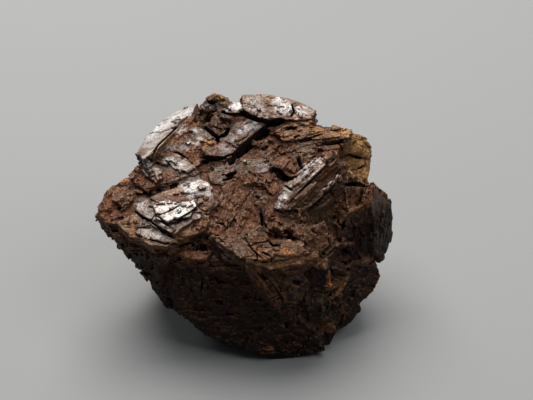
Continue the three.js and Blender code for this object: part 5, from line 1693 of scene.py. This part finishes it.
def surface_patterns(n):
    """What the stone's surface is known by at a point: the layers of the mesh, patches in
    space, and blocks and streaks along the grain."""
    place = n.add("ShaderNodeTexCoord", 3)
    tint, painted_light = n.layer("tint", 0, 3)
    shade_and_wear, gleam = n.layer("shade_and_wear", 0, 3)
    cavity, edge, face = n.split(shade_and_wear)
    grain, = n.layer("grain", 1)
    large = n.blocks(grain, (0.85, 0.42, 0.3))
    small = n.blocks(grain, (0.34, 0.17, 0.14))
    glint, pit, spark = n.split(n.blocks(grain, (0.24, 0.15, 0.12)))
    # Where neither the hollows' painted shade nor the front's falls; glints and embers show only
    # there.
    painted_lit = n.times(n.rest(cavity, True), painted_light)
    return SimpleNamespace(
        tint=tint, painted_light=painted_light, cavity=cavity, edge=edge, gleam=gleam, painted_lit=painted_lit,
        side=n.rest(face, True),
        matt=n.rest(gleam, True),
        broad=n.noise(place, 260, 3, 0.55),
        middle=n.noise(place, 900, 4, 0.6),
        fine=n.noise(place, 4200, 3, 0.65),
        streaks=n.noise(n.vector("MULTIPLY", grain, (0.45, 4.6, 6.5)), 1.0, 3, 0.6),
        large=large, large_value=n.split(large)[0],
        small=small, small_value=n.split(small)[1],
        glint=n.times(n.ramp(glint, 0.78, 0.9), painted_lit),
        # pit picks random blocks, which are painted as dark flecks.
        pit=n.ramp(pit, 0.72, 0.86),
        spark=n.times(n.ramp(spark, 0.86, 0.94), painted_lit))


def weathered(n, s):
    """The stone's colour with rust and tan on it, dark streaks between the sheets, dark flecks, and
    painted shade in the hollows and low on the front.
    """
    rusty = n.times(n.ramp(s.broad, 0.44, 0.66), n.ramp(s.middle, 0.4, 0.62))
    rusty = n.times(rusty, n.rest(n.times(s.gleam, 0.8)))
    colour = n.mix(n.times(rusty, 0.7), s.tint, COLOURS["rust"])
    pale = n.times(n.ramp(s.large_value, 0.66, 0.92), n.ramp(s.middle, 0.45, 0.6))
    colour = n.mix(n.times(n.times(pale, s.matt), 0.4), colour, COLOURS["tan"])
    # Dark patches, more of them in the hollows, which is partly painted shade.
    dark = n.ramp(n.plus(s.middle, n.times(s.cavity, 0.35)), 0.54, 0.74)
    dull = n.rest(n.times(s.gleam, 0.6))
    colour = n.mix(n.times(dark, n.times(dull, 0.8)), colour, COLOURS["dark"])
    worn = n.times(s.edge, n.ramp(s.middle, 0.35, 0.6))
    colour = n.mix(n.times(worn, 0.5), colour, COLOURS["tan"])
    lines = n.times(n.rest(n.ramp(s.streaks, 0.34, 0.46)), n.plus(n.times(s.side, 0.5), 0.3))
    colour = n.mix(lines, colour, COLOURS["dark"])
    speck = n.scaled(s.fine, 0.3, 0.7, 0.5, 1.35)
    cell = n.scaled(s.small_value, 0.0, 1.0, 0.7, 1.3)
    # Painted shade: the colour goes near black in the hollows and as dark as the front's painted
    # shade says, with specks and cells of tone.
    shade = n.times(speck, n.rest(n.times(s.cavity, 0.93)))
    shade = n.times(n.times(shade, cell), s.painted_light)
    colour = n.mix(1.0, colour, n.alike("ShaderNodeCombineColor", shade), "MULTIPLY")
    # Random blocks painted dark, less where the face gleams.
    return n.mix(n.times(s.pit, n.times(dull, 0.6)), colour, COLOURS["dark"])


def sparkling(n, s, colour):
    """The colour with orange embers and silver glints painted into it, only in blocks where no shade
    is painted.
    """
    ember = n.times(n.times(s.spark, n.ramp(s.broad, 0.4, 0.55)), s.matt)
    colour = n.mix(n.times(ember, 0.34), colour, COLOURS["orange"])
    # Painted glints: silver in the colour of blocks that catch the light, beside their metallic
    # gloss.
    return n.mix(n.times(s.glint, 0.2), colour, COLOURS["silver"])


def set_gloss(n, s):
    """Gloss: cleavage faces gleam in patches, and broken ones glint block by block."""
    broken = n.ramp(n.plus(s.fine, n.times(s.middle, 0.5)), 0.6, 0.98)
    smooth = n.times(s.gleam, n.rest(n.times(broken, 0.5)))
    rough = n.scaled(smooth, 0.0, 0.9, 0.5, 0.34)
    rough = n.plus(rough, n.times(n.math("SUBTRACT", s.small_value, 0.5), 0.22))
    rough = n.plus(rough, n.times(s.cavity, 0.3), True)
    n.put(n.shader.inputs["Roughness"], rough)
    metal = n.plus(n.times(smooth, 0.8), n.times(s.glint, 0.35), True)
    n.put(n.shader.inputs["Metallic"], metal)
    n.put(n.shader.inputs["IOR"], 1.5)
    n.put(n.shader.inputs["Specular IOR Level"], 0.14)


def set_relief(n, s):
    """Relief too fine for the mesh: each block leans its own way, and the streaks stand out."""
    halves = (0.5, 0.5, 0.5)
    lean = n.vector("ADD", n.vector("SUBTRACT", s.large, halves),
                    n.vector("SUBTRACT", s.small, halves))
    calm = n.math("SUBTRACT", 0.46, n.times(s.gleam, 0.26))
    amount = n.alike("ShaderNodeCombineXYZ", calm)
    facing = n.add("ShaderNodeNewGeometry", 1)
    leaning = n.vector("ADD", facing, n.vector("MULTIPLY", lean, amount))
    leaning = n.add("ShaderNodeVectorMath", 0, {"operation": "NORMALIZE"}, _0=leaning)
    height = n.plus(n.times(s.fine, 0.35), n.times(s.middle, 0.6))
    height = n.plus(height, n.times(s.streaks, 0.9))
    bump = n.add("ShaderNodeBump", 0, None, Strength=0.5, Distance=0.00018, Height=height,
                 Normal=leaning)
    n.put(n.shader.inputs["Normal"], bump)


def limonite_material():
    """Limonite: brown, rusty and dark, with faces that gleam like dull metal."""
    material = bpy.data.materials.new("limonite")
    n = Nodes(material)
    s = surface_patterns(n)
    n.put(n.shader.inputs["Base Color"], sparkling(n, s, weathered(n, s)))
    set_gloss(n, s)
    set_relief(n, s)
    return material


def pale_floor():
    """The pale grey floor that the stone rests on."""
    bpy.ops.mesh.primitive_plane_add(size=6)
    made = bpy.context.object
    made.name = "floor"
    material = bpy.data.materials.new("floor")
    material.use_nodes = True
    inputs = material.node_tree.nodes["Principled BSDF"].inputs
    inputs["Base Color"].default_value = (0.34, 0.352, 0.356, 1)
    inputs["Roughness"].default_value = 0.8
    made.data.materials.append(material)
    return made


def faint_world():
    """Faint bluish light from all round."""
    scene = bpy.context.scene
    scene.world = scene.world or bpy.data.worlds.new("studio")
    scene.world.use_nodes = True
    inputs = scene.world.node_tree.nodes["Background"].inputs
    inputs["Color"].default_value = (0.8, 0.85, 0.9, 1)
    inputs["Strength"].default_value = 0.05


def aim_at(thing, place, target):
    """Puts a light or camera at a place, turned to its target."""
    thing.location = place
    thing.rotation_euler = (Vector(target) - Vector(place)).to_track_quat("-Z", "Y").to_euler()
    bpy.context.scene.collection.objects.link(thing)


def area_light(name, place, target, size, power, colour=(1, 1, 1)):
    """A soft light of that width and height, in metres and watts."""
    data = bpy.data.lights.new(name, "AREA")
    data.shape = "RECTANGLE"
    data.size, data.size_y = size
    data.energy = power
    data.color = colour
    aim_at(bpy.data.objects.new(name, data), place, target)


def photo_camera():
    """The camera that sees the stone as the photo does."""
    data = bpy.data.cameras.new("camera")
    data.lens = LENS
    data.sensor_width = SENSOR
    data.clip_start = 0.005
    view = bpy.data.objects.new("camera", data)
    aim_at(view, (EYE - CENTRE) / METRE, (AIM - CENTRE) / METRE)
    bpy.context.scene.camera = view


limonite = limonite_material()
for piece in stone_pieces:
    piece.data.materials.append(limonite)
    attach(piece, "root")
    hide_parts("limonite_pseudomorph")

floor = pale_floor()
faint_world()
area_light("key", (-0.04, 0.20, 0.45), (0, 0, 0.02), (0.46, 0.34), 3.3, (1, 0.965, 0.925))
area_light("rim", (-0.26, 0.56, 0.13), (0, 0, 0.02), (0.34, 0.16), 0.9)
area_light("fill", (0.30, -0.10, 0.46), (0, 0, 0.015), (0.3, 0.3), 0.6)
photo_camera()
bpy.context.scene.view_settings.view_transform = "Standard"
